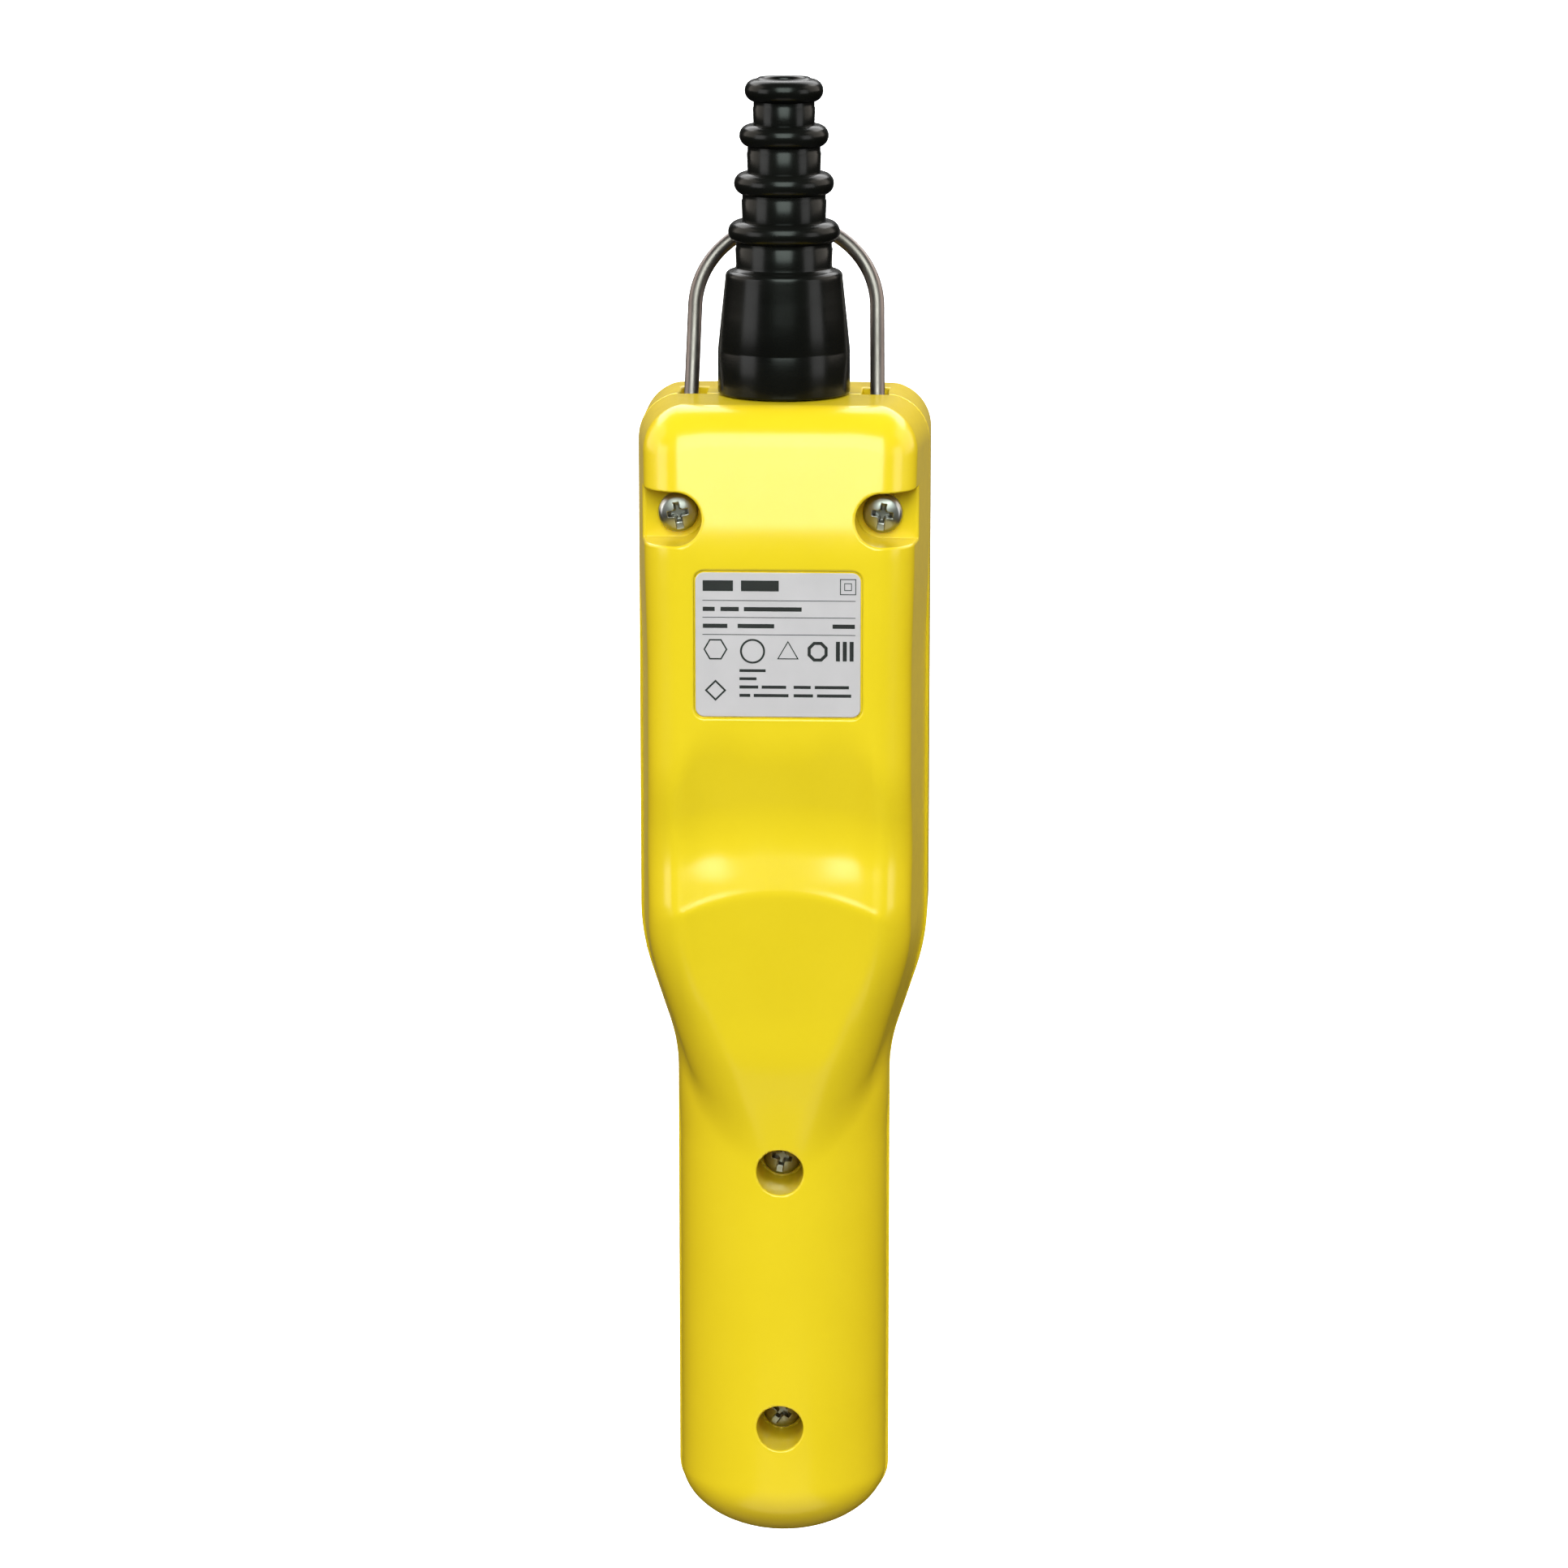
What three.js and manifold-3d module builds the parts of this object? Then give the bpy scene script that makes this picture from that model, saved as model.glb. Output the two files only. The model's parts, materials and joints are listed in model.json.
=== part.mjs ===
// Pendant control station: a two-button, one-hand enclosure in two half shells.
// Millimetres, +Z up. The buttons face -Y and the back faces +Y.
// Heights in the constants are measured from the enclosure's flat top face;
// the finished group is shifted so that the bail's hang point is the origin.
import * as THREE from 'three';
import { mergeVertices } from 'three/addons/utils/BufferGeometryUtils.js';
import Module from 'manifold-3d';

const wasm = await Module();
wasm.setup();

// ---- driving dimensions -------------------------------------------------

const GAP = 0.3; // clearance kept between separate pieces
const WALL = 2.4;

// enclosure outline, seen from the back
const HEAD_HALF_WIDTH = 26;
const GRIP_HALF_WIDTH = 19.3;
const BODY_LENGTH = 211;
const SHOULDER_RADIUS = 8;
const TAPER_TOP = -91;
const TAPER_LENGTH = 36;
const END_ROUNDING = 12;

// enclosure depth, from the parting plane y = 0
const HEAD_REAR = 25.5;
const HEAD_FRONT = 22;
const GRIP_REAR = 19.3;
const GRIP_FRONT = 19;
const HEAD_EDGE_RADIUS = 6.3;
const REAR_DRAFT = 0.115;
const BACK_SLOPE = { from: -76, to: -132 };
const PAD_BOTTOM = -22.8;
const PAD_TILT = THREE.MathUtils.degToRad(12);
const FACE_ROLL = 6.5;
const TOP_WALL = 4;

// finger saddles in the back
const UPPER_SADDLE = { top: -57, deep: -74, bottom: -85.7, depth: 2.8 };
const LOWER_SADDLE = { top: -85.7, deep: -98, bottom: -114, depth: 0.5 };
const SADDLE_HALF_WIDTH = 22;

// casing screws
const SCREW_HEAD_R = 3.5;
const SCREW_HEAD_HEIGHT = 2.4;
const SCREW_SHANK_R = 1.75;
const TOP_SCREW = { x: 18, z: -18.9, floor: 14.5, recessR: 4.6, shank: 20 };
const GRIP_SCREW = { upperZ: -138.5, lowerZ: -186.7, floor: 5.9, wellR: 4.22, shank: 17 };
const BOSS_FLOOR = 2;

// rating plate
const PLATE = { width: 28.9, height: 25.6, z: -40.8, thick: 0.35, corner: 1.5, pocket: 0.5 };

// cable sleeve
const SLEEVE_TOP = 56;
const SLEEVE_BORE = 3.45;
const SLEEVE_BASE_R = 11.75;
const SLEEVE_SEAT_R = 9.2;
const SLEEVE_FLANGE = -9;
const RINGS = [
  { z: 28.9, outer: 9.9, neckBelow: 8.5 },
  { z: 37.4, outer: 8.85, neckBelow: 7.4 },
  { z: 45.8, outer: 7.9, neckBelow: 6.45 },
  { z: 53.7, outer: 6.95, neckBelow: 5.4 },
];
const RING_MINOR = 2;

// suspension bail
const WIRE_R = 1.3;
const BAIL_LEG_X = 16.7;
const BAIL_PIVOT_Z = -3.8;
const BAIL_ARCH_R = 16.3;
const BAIL_REACH = 36.45;
const BAIL_LEAN = THREE.MathUtils.degToRad(26.5);
const BAIL_FOOT_X = 21.4;
const BAIL_SLOT = { inner: 13.9, outer: 18.4, front: -8.6 };

// push-buttons
const BUTTON_HEIGHTS = { raise: -37, lower: -74 };
const PANEL_HOLE_R = 11.15;
const GUARD = { inner: 14.8, outer: 17, front: -27.5 };
const CAP = { r: 9.2, front: -29.6, back: -25.8, socket: 2.2 };
const STEM_R = 3.3;
const STEM_FLANGE_R = 4.1;
const TRAVEL = 4.5;
const SPRING = { r: 6.4, wire: 0.4, turns: 4 };
const BLOCK = { halfX: 11, halfZ: 11, front: -9, back: 11 };
const CARRIER_Y = -11;

const Z_AXIS_FROM_Y = Math.PI / 2;

// ---- materials ----------------------------------------------------------

const finish = (color, roughness, metalness) =>
  new THREE.MeshStandardMaterial({ color, roughness, metalness });
const yellowPlastic = finish(0xe8d225, 0.35, 0);
const blackRubber = finish(0x1e1e1c, 0.55, 0);
const whiteRubber = finish(0xe9e8e2, 0.55, 0);
const blackPlastic = finish(0x232323, 0.5, 0);
const greyPlastic = finish(0x6c6f70, 0.5, 0);
const steel = finish(0x8a8a85, 0.35, 1);
const silverFoil = finish(0xb4b6bc, 0.4, 0.8);
const brass = finish(0xb9974a, 0.35, 1);

// ---- helpers ------------------------------------------------------------

const station = new THREE.Group();

function place(name, geometry, material) {
  const mesh = new THREE.Mesh(geometry, material);
  mesh.name = name;
  station.add(mesh);
}

function weld(geometry) {
  const bare = geometry.clone();
  bare.deleteAttribute('normal');
  bare.deleteAttribute('uv');
  return mergeVertices(bare, 1e-4);
}

// triangles with three different corners, turned so that the volume is positive
function outwardTriangles(welded) {
  const at = welded.attributes.position;
  const index = welded.index.array;
  const corner = (i) => new THREE.Vector3().fromBufferAttribute(at, i);
  const kept = [];
  let volume = 0;
  for (let t = 0; t < index.length; t += 3) {
    const [a, b, c] = [index[t], index[t + 1], index[t + 2]];
    if (a === b || b === c || c === a) continue;
    kept.push([a, b, c]);
    volume += corner(a).dot(corner(b).cross(corner(c)));
  }
  return kept.flatMap(([a, b, c]) => (volume > 0 ? [a, b, c] : [a, c, b]));
}

function solid(geometry) {
  const welded = weld(geometry);
  return new wasm.Manifold(new wasm.Mesh({
    numProp: 3,
    vertProperties: new Float32Array(welded.attributes.position.array),
    triVerts: new Uint32Array(outwardTriangles(welded)),
  }));
}

function surface(body) {
  const mesh = body.getMesh();
  const geometry = new THREE.BufferGeometry();
  geometry.setAttribute('position', new THREE.BufferAttribute(mesh.vertProperties, 3));
  geometry.setIndex(new THREE.BufferAttribute(mesh.triVerts, 1));
  geometry.computeVertexNormals();
  return geometry;
}

const join = (...bodies) => bodies.reduce((all, body) => all.add(body));
const cut = (body, ...tools) => tools.reduce((left, tool) => left.subtract(tool), body);

function box([x0, x1], [y0, y1], [z0, z1]) {
  const geometry = new THREE.BoxGeometry(x1 - x0, y1 - y0, z1 - z0);
  return solid(geometry.translate((x0 + x1) / 2, (y0 + y1) / 2, (z0 + z1) / 2));
}

function rodY(radius, [y0, y1], x, z, sides = 12) {
  const geometry = new THREE.CylinderGeometry(radius, radius, y1 - y0, sides);
  return solid(geometry.translate(x, (y0 + y1) / 2, z));
}

function rodZ(radius, [z0, z1], sides = 20) {
  const geometry = new THREE.CylinderGeometry(radius, radius, z1 - z0, sides);
  return solid(geometry.rotateX(Z_AXIS_FROM_Y).translate(0, 0, (z0 + z1) / 2));
}

function rodX(radius, [x0, x1], z, sides = 12) {
  const geometry = new THREE.CylinderGeometry(radius, radius, x1 - x0, sides);
  return solid(geometry.rotateZ(Math.PI / 2).translate((x0 + x1) / 2, 0, z));
}

// profile points are [radius, y]; the turned piece stands on the axis (x, z)
function turnedY(profile, x, z, sides = 20) {
  const points = profile.map(([r, y]) => new THREE.Vector2(r, y));
  return solid(new THREE.LatheGeometry(points, sides).translate(x, 0, z));
}

function turnedZ(profile, sides) {
  const points = profile.map(([r, z]) => new THREE.Vector2(r, z));
  return solid(new THREE.LatheGeometry(points, sides).rotateX(Z_AXIS_FROM_Y));
}

// an outline in x and z, extruded from y0 to y1
function slab(shape, [y0, y1]) {
  const settings = { depth: y1 - y0, bevelEnabled: false, curveSegments: 5 };
  const geometry = new THREE.ExtrudeGeometry(shape, settings);
  return solid(geometry.rotateX(Z_AXIS_FROM_Y).translate(0, y1, 0));
}

function wire(curve, radius, steps, sides) {
  const section = new THREE.Shape().absarc(0, 0, radius, 0, 2 * Math.PI);
  const ring = new THREE.Shape(section.getSpacedPoints(sides).slice(0, sides));
  return new THREE.ExtrudeGeometry(ring, { steps, extrudePath: curve, bevelEnabled: false });
}

const steps = (from, to, count) =>
  Array.from({ length: count + 1 }, (_, i) => from + ((to - from) * i) / count);
const { smoothstep, lerp, clamp } = THREE.MathUtils;

// ---- enclosure form -----------------------------------------------------

const taper = (z) => smoothstep(TAPER_TOP - z, 0, TAPER_LENGTH);
const quarterRound = (t) => Math.sqrt(Math.max(0, 1 - t * t));

// 1 along the body, falling to 0 at the rounded bottom end
const endScale = (z, inset) => {
  const depth = (-BODY_LENGTH + END_ROUNDING - z) / (END_ROUNDING - inset);
  return quarterRound(clamp(depth, 0, 1));
};

function halfWidth(z) {
  const width = lerp(HEAD_HALF_WIDTH, GRIP_HALF_WIDTH, taper(z));
  const above = clamp((z + SHOULDER_RADIUS) / SHOULDER_RADIUS, 0, 1);
  return width - SHOULDER_RADIUS * (1 - quarterRound(above));
}

function saddle({ top, deep, bottom, depth }, z) {
  const down = smoothstep(top - z, 0, top - deep);
  const up = smoothstep(z - bottom, 0, deep - bottom);
  return depth * down * up;
}

function rearDepth(x, z) {
  const base = lerp(HEAD_REAR, GRIP_REAR, smoothstep(-z, -BACK_SLOPE.from, -BACK_SLOPE.to));
  const pad = Math.max(0, z - PAD_BOTTOM) * Math.tan(PAD_TILT);
  const across = Math.max(0, 1 - (x / SADDLE_HALF_WIDTH) ** 2) ** 2;
  const fingers = saddle(UPPER_SADDLE, z) + saddle(LOWER_SADDLE, z);
  return base - pad - fingers * across;
}

const frontDepth = (z) => lerp(HEAD_FRONT, GRIP_FRONT, taper(z));

// how far the front or back face has rolled over towards the top face
const faceRoll = (z) => {
  const above = clamp((z + FACE_ROLL) / FACE_ROLL, 0, 1);
  return FACE_ROLL * (1 - quarterRound(above));
};

// steps in one quarter of a section: across the face, round the edge and down the flank
const FINE = { across: 3, round: 5, flank: 1 };
const COARSE = { across: 2, round: 3, flank: 1 };
const quarterSteps = ({ across, round, flank }) => across + round + flank;

// a point on one quarter of the rounded section; q runs 0 (centre line) to 1 (flank)
function sectionPoint(q, grid, width, depth, radius) {
  const arcFrom = grid.across / quarterSteps(grid);
  const arcTo = (grid.across + grid.round) / quarterSteps(grid);
  if (q < arcFrom) return [((width - radius) * q) / arcFrom, depth];
  if (q > arcTo) return [width, ((depth - radius) * (1 - q)) / (1 - arcTo)];
  const angle = ((q - arcFrom) / (arcTo - arcFrom)) * (Math.PI / 2);
  return [width - radius + radius * Math.sin(angle), depth - radius + radius * Math.cos(angle)];
}

// the enclosure's form, drawn in by inset, as a cylinder whose rings take the section's shape;
// the head's flanks lean in towards the back by REAR_DRAFT
const CORNER_LIMIT = 0.97; // an edge radius stays this share of the width and depth, or less
function enclosureForm(heights, inset, grid) {
  const rings = heights.length - 1;
  const geometry = new THREE.CylinderGeometry(1, 1, 1, 4 * quarterSteps(grid), rings);
  const at = geometry.attributes.position;
  for (let i = 0; i < at.count; i += 1) {
    const z = heights[Math.round((0.5 - at.getY(i)) * rings)];
    if (Math.hypot(at.getX(i), at.getZ(i)) < 0.5) {
      at.setXYZ(i, 0, 0, z);
      continue;
    }
    const turn = (Math.atan2(at.getX(i), at.getZ(i)) / (Math.PI / 2) + 4) % 4;
    const quarter = Math.floor(turn + 1e-6);
    const fraction = Math.max(0, turn - quarter);
    const rear = quarter % 4 === 0 || quarter === 3;
    const right = quarter < 2;
    const q = quarter % 2 === 0 ? fraction : 1 - fraction;
    const end = endScale(z, inset);
    const width = (halfWidth(z) - inset) * end;
    const radius = lerp(HEAD_EDGE_RADIUS, GRIP_FRONT - 0.3, taper(z)) - inset;
    const flat = ((rear ? rearDepth(0, z) : frontDepth(z)) - faceRoll(z) - inset) * end;
    const corner = Math.min(radius * end, width * CORNER_LIMIT, flat * CORNER_LIMIT);
    const [x] = sectionPoint(q, grid, width, flat, corner);
    const depth = rear ? (rearDepth(x, z) - faceRoll(z) - inset) * end : flat;
    const [, y] = sectionPoint(q, grid, width, depth, corner);
    const drawn = rear ? x * (1 - (REAR_DRAFT * (1 - taper(z)) * y) / width) : x;
    at.setXYZ(i, right ? drawn : -drawn, rear ? y : -y, z);
  }
  return solid(geometry);
}

const GRIP_TOP = TAPER_TOP - TAPER_LENGTH;
const GRIP_BOTTOM = END_ROUNDING - BODY_LENGTH;
const OUTER_HEIGHTS = [
  0, -0.5, -2, -4.4, -SHOULDER_RADIUS, PAD_BOTTOM, UPPER_SADDLE.top,
  ...steps(-60, UPPER_SADDLE.bottom, 5), ...steps(-91, GRIP_TOP, 6),
  GRIP_BOTTOM, -203.5, -207.3, -209.8, -210.8,
];
const CAVITY_HEIGHTS = [
  -TOP_WALL, -SHOULDER_RADIUS, PAD_BOTTOM, UPPER_SADDLE.top, UPPER_SADDLE.deep, UPPER_SADDLE.bottom,
  -98, -110, GRIP_TOP, GRIP_BOTTOM, -205, -208,
];

const form = enclosureForm(OUTER_HEIGHTS, 0, FINE);
const cavity = enclosureForm(CAVITY_HEIGHTS, WALL, COARSE);
const FAR = 60;
const rearHalf = box([-FAR, FAR], [GAP / 2, FAR], [-BODY_LENGTH - 1, 1]);
const frontHalf = box([-FAR, FAR], [-FAR, -GAP / 2], [-BODY_LENGTH - 1, 1]);

// ---- parting-line gasket ------------------------------------------------

const GASKET = { from: 1, to: 1.7, halfDepth: 0.9 };
const GROOVE_DEPTH = 1.2;
const OUTLINE_HEIGHTS = [
  -3.4, -5.5, -SHOULDER_RADIUS, ...steps(TAPER_TOP, GRIP_TOP, 4), GRIP_BOTTOM,
];

// right-hand outline of the parting plane, from the shoulder to the bottom centre, drawn in
function outline(inset) {
  const side = OUTLINE_HEIGHTS.map((z) => {
    const lean = (halfWidth(z + 0.05) - halfWidth(z - 0.05)) / 0.1;
    const length = Math.hypot(1, lean);
    return new THREE.Vector2(halfWidth(z) - inset / length, z + (inset * lean) / length);
  });
  const bottom = steps(0, Math.PI / 2, 5).slice(1).map((angle) => new THREE.Vector2(
    (GRIP_HALF_WIDTH - inset) * Math.cos(angle),
    END_ROUNDING - BODY_LENGTH - (END_ROUNDING - inset) * Math.sin(angle),
  ));
  return [...side, ...bottom];
}

// a U-shaped band between two insets, following the outline of both sides
function gasketBand(from, to, halfDepth) {
  const mirror = (points) => points.slice(0, -1).map((p) => new THREE.Vector2(-p.x, p.y)).reverse();
  const loop = (inset) => {
    const right = outline(inset);
    return [...right, ...mirror(right)];
  };
  const shape = new THREE.Shape([...loop(from), ...loop(to).reverse()]);
  return slab(shape, [-halfDepth, halfDepth]);
}

place('shell_gasket', surface(gasketBand(GASKET.from, GASKET.to, GASKET.halfDepth)), blackRubber);
const gasketGroove = gasketBand(GASKET.from - GAP, GASKET.to + GAP, GROOVE_DEPTH);

// ---- rear shell ---------------------------------------------------------

const sides = [-1, 1];
const span = (side, a, b) => (side > 0 ? [a, b] : [-b, -a]);

function topRecess(side) {
  const { x, z, floor, recessR } = TOP_SCREW;
  const round = rodY(recessR, [floor, FAR], side * x, z, 20);
  return round.add(box(span(side, x, FAR), [floor, FAR], [z - recessR, z + recessR]));
}

function topRecessHousing(side) {
  const { x, z, floor, recessR } = TOP_SCREW;
  const outer = recessR + WALL;
  const round = rodY(outer, [floor - BOSS_FLOOR, FAR], side * x, z);
  const out = box(span(side, x, FAR), [floor - BOSS_FLOOR, FAR], [z - outer, z + outer]);
  return round.add(out);
}

const plateFace = HEAD_REAR - PLATE.pocket;

function roundedOblong(width, height, corner, z) {
  const [x, y, r] = [width / 2, height / 2, corner];
  const shape = new THREE.Shape();
  shape.moveTo(-x + r, z - y);
  shape.lineTo(x - r, z - y);
  shape.absarc(x - r, z - y + r, r, -Math.PI / 2, 0);
  shape.lineTo(x, z + y - r);
  shape.absarc(x - r, z + y - r, r, 0, Math.PI / 2);
  shape.lineTo(-x + r, z + y);
  shape.absarc(-x + r, z + y - r, r, Math.PI / 2, Math.PI);
  shape.lineTo(-x, z - y + r);
  shape.absarc(-x + r, z - y + r, r, Math.PI, 1.5 * Math.PI);
  return shape;
}

const sleeveSeat = rodZ(SLEEVE_SEAT_R + GAP, [-TOP_WALL - 1, 1]);

// rooms for the sleeve's inner flange
const flangeRoom = rodZ(SLEEVE_BASE_R + 2 * GAP, [SLEEVE_FLANGE - GAP, -TOP_WALL]);

// half blocks that carry the bail's feet, one on each side of the parting plane
const footBlock = (side) =>
  box(span(side, BAIL_SLOT.inner - 1.2, FAR), [-11, 6], [BAIL_PIVOT_Z - 4.2, 0]);
const footGroove = (side) =>
  rodX(WIRE_R + GAP, span(side, BAIL_SLOT.inner, BAIL_FOOT_X + GAP), BAIL_PIVOT_Z);

// the upright bail leg leans against the back of this relief, which stays below the top face
const legRelief = (side) =>
  box(span(side, BAIL_SLOT.inner, BAIL_SLOT.outer), [0, WIRE_R + GAP], [BAIL_PIVOT_Z, -1]);

function rearShell() {
  const wells = [GRIP_SCREW.upperZ, GRIP_SCREW.lowerZ];
  const { floor, wellR } = GRIP_SCREW;
  const housings = [
    ...wells.map((z) => rodY(wellR + 2, [floor - BOSS_FLOOR, FAR], 0, z)),
    ...sides.map(topRecessHousing),
    ...sides.map(footBlock),
  ];
  const shaftHole = (x, z, top) => rodY(SCREW_SHANK_R + GAP, [-1, top + 1], x, z);
  const { width, height, corner } = PLATE;
  const pocket = roundedOblong(width + 2 * GAP, height + 2 * GAP, corner + GAP, PLATE.z);
  return cut(
    form.intersect(rearHalf),
    cut(cavity, ...housings),
    ...wells.map((z) => rodY(wellR, [floor, FAR], 0, z, 20)),
    ...wells.map((z) => shaftHole(0, z, floor)),
    ...sides.map(topRecess),
    ...sides.map((side) => shaftHole(side * TOP_SCREW.x, TOP_SCREW.z, TOP_SCREW.floor)),
    ...sides.map(footGroove),
    ...sides.map(legRelief),
    slab(pocket, [plateFace, FAR]),
    sleeveSeat,
    flangeRoom,
    gasketGroove,
  );
}

place('rear_shell', surface(rearShell()), yellowPlastic);

const plateShape = roundedOblong(PLATE.width, PLATE.height, PLATE.corner, PLATE.z);
const plateBack = plateFace + 0.05;
place('rating_plate', surface(slab(plateShape, [plateBack, plateBack + PLATE.thick])), silverFoil);

// ---- front shell --------------------------------------------------------

const CLAMP = { x: 8.5, z: -16, postR: 3.2, postTop: 3.4, thick: 2.2 };
const CARRIER_SCREW = { x: 11.5, z: (BUTTON_HEIGHTS.raise + BUTTON_HEIGHTS.lower) / 2, postR: 3.4 };
const SMALL_SHANK_R = 1.25;

function guardCollar(z) {
  const root = -HEAD_FRONT + WALL;
  const { inner, outer, front } = GUARD;
  return turnedY([
    [inner, root], [inner, front + 0.8], [inner + 0.5, front], [outer - 1, front],
    [outer - 0.2, front + 0.8], [outer + 0.6, root], [inner, root],
  ], 0, z);
}

const bailSlot = (side) =>
  box(span(side, BAIL_SLOT.inner, BAIL_SLOT.outer), [BAIL_SLOT.front, 0], [BAIL_PIVOT_Z - 2, 1]);

function frontShell() {
  const wall = -HEAD_FRONT + 1;
  const pair = ({ x, z }, r, top) => sides.map((side) => ({ x: side * x, z, r, top }));
  const gripPost = (z) => ({ x: 0, z, r: 5, top: GRIP_SCREW.floor - BOSS_FLOOR - GAP });
  const posts = [
    ...pair(TOP_SCREW, 3.8, TOP_SCREW.floor - BOSS_FLOOR - GAP),
    ...[GRIP_SCREW.upperZ, GRIP_SCREW.lowerZ].map(gripPost),
  ];
  const smallPosts = [
    ...pair(CLAMP, CLAMP.postR, CLAMP.postTop),
    ...pair(CARRIER_SCREW, CARRIER_SCREW.postR, CARRIER_Y - GAP),
  ];
  const pillar = ({ x, z, r, top }) => rodY(r, [wall, top], x, z).intersect(frontSpace);
  const pilot = (depth, shank) => ({ x, z, top }) => rodY(shank + GAP, [top - depth, top + 1], x, z, 8);
  const buttons = Object.values(BUTTON_HEIGHTS);
  const shell = cut(form.intersect(frontHalf), cut(cavity, ...sides.map(footBlock)));
  return cut(
    join(shell, ...posts.map(pillar), ...smallPosts.map(pillar), ...buttons.map(guardCollar)),
    ...posts.map(pilot(TOP_SCREW.shank - 1, SCREW_SHANK_R)),
    ...smallPosts.map(pilot(6, SMALL_SHANK_R)),
    ...buttons.map((z) => rodY(PANEL_HOLE_R, [-FAR, -HEAD_FRONT + WALL + 1], 0, z, 24)),
    ...sides.map(bailSlot),
    ...sides.map(footGroove),
    sleeveSeat,
    flangeRoom,
    gasketGroove,
  );
}

// posts stay inside the enclosure's outer form
const frontSpace = enclosureForm([0, PAD_BOTTOM, TAPER_TOP, GRIP_TOP, GRIP_BOTTOM], 0.6, COARSE);
place('front_shell', surface(frontShell()), yellowPlastic);

// ---- cable sleeve -------------------------------------------------------

// one cut-off ring: an outward bulge of RING_MINOR between two necks
function ringBulge({ z, outer }, neckBelow, neckAbove) {
  const middle = outer - RING_MINOR;
  const angleAt = (neck) => Math.acos(clamp((neck - middle) / RING_MINOR, -1, 1));
  return steps(-angleAt(neckBelow), angleAt(neckAbove), 4).map((angle) => [
    middle + RING_MINOR * Math.cos(angle),
    z + RING_MINOR * Math.sin(angle),
  ]);
}

function cableSleeve() {
  const flat = { inner: 4.4, outer: 5.3 };
  const bulges = RINGS.flatMap((ring, i) => {
    const last = i === RINGS.length - 1;
    if (!last) return ringBulge(ring, ring.neckBelow, RINGS[i + 1].neckBelow);
    return [...ringBulge(ring, ring.neckBelow, flat.outer).slice(0, -1), [flat.outer, SLEEVE_TOP]];
  });
  const seat = SLEEVE_SEAT_R;
  return turnedZ([
    [SLEEVE_BORE, SLEEVE_FLANGE], [SLEEVE_BASE_R, SLEEVE_FLANGE], [SLEEVE_BASE_R, -TOP_WALL - GAP],
    [seat, -TOP_WALL - GAP], [seat, GAP], [SLEEVE_BASE_R, GAP], [SLEEVE_BASE_R, 8],
    [10.4, 20.2], [9.7, 22.2], [8.7, 23], ...bulges,
    [flat.inner, SLEEVE_TOP], [SLEEVE_BORE, SLEEVE_TOP - 1], [SLEEVE_BORE, SLEEVE_FLANGE],
  ], 20);
}

place('cable_sleeve', surface(cableSleeve()), blackRubber);

// ---- suspension bail ----------------------------------------------------

// centre line in the bail's own plane: s runs up along the leaning legs
function bailCurve() {
  const arch = BAIL_REACH - BAIL_ARCH_R;
  const bend = 2.2;
  const place3 = (x, s) => new THREE.Vector3(
    x, -s * Math.sin(BAIL_LEAN), BAIL_PIVOT_Z + s * Math.cos(BAIL_LEAN),
  );
  const footBend = (a) =>
    place3(BAIL_LEG_X + bend * (1 - Math.sin(a)), bend * (1 - Math.cos(a)));
  const crown = (a) => place3(BAIL_ARCH_R * Math.cos(a), arch + BAIL_ARCH_R * Math.sin(a));
  const rightSide = [
    place3(BAIL_FOOT_X, 0),
    place3(BAIL_LEG_X + bend + 0.6, 0),
    ...steps(0, Math.PI / 2, 3).map(footBend),
    ...steps(5, arch - 2, 3).map((s) => place3(lerp(BAIL_LEG_X, BAIL_ARCH_R, s / arch), s)),
  ];
  const top = steps(0, Math.PI, 12).map(crown);
  const leftSide = rightSide.map((p) => new THREE.Vector3(-p.x, p.y, p.z)).reverse();
  return new THREE.CatmullRomCurve3([...rightSide, ...top, ...leftSide], false, 'centripetal');
}

place('suspension_bail', wire(bailCurve(), WIRE_R, 46, 8), steel);

// ---- screws -------------------------------------------------------------

// a pan-head screw with a cross recess; its head looks along +Y and rests at seatY
function panScrew({ headR, headHeight, shankR, shank }, x, seatY, z) {
  const lift = seatY + 0.1;
  const top = lift + headHeight;
  const body = turnedY([
    [0, lift - shank], [shankR, lift - shank + 1.2], [shankR, lift], [headR, lift],
    [headR, lift + headHeight * 0.45], [headR * 0.7, top], [0, top],
  ], x, z, 10);
  const long = headR * 0.6;
  const thin = headR * 0.13;
  const deep = top - headHeight * 0.55;
  return cut(
    body,
    box([x - long, x + long], [deep, top + 1], [z - thin, z + thin]),
    box([x - thin, x + thin], [deep, top + 1], [z - long, z + long]),
  );
}

const casingScrew = (shank) => ({
  headR: SCREW_HEAD_R, headHeight: SCREW_HEAD_HEIGHT, shankR: SCREW_SHANK_R, shank,
});
const smallScrew = { headR: 2.3, headHeight: 1.5, shankR: SMALL_SHANK_R, shank: 7 };

const casingScrews = [
  { name: 'casing_screw_top_left', x: -TOP_SCREW.x, z: TOP_SCREW.z, seat: TOP_SCREW },
  { name: 'casing_screw_top_right', x: TOP_SCREW.x, z: TOP_SCREW.z, seat: TOP_SCREW },
  { name: 'casing_screw_grip_upper', x: 0, z: GRIP_SCREW.upperZ, seat: GRIP_SCREW },
  { name: 'casing_screw_grip_lower', x: 0, z: GRIP_SCREW.lowerZ, seat: GRIP_SCREW },
];
for (const { name, x, z, seat } of casingScrews) {
  place(name, surface(panScrew(casingScrew(seat.shank), x, seat.floor, z)), steel);
}

// ---- cable clamp --------------------------------------------------------

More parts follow.
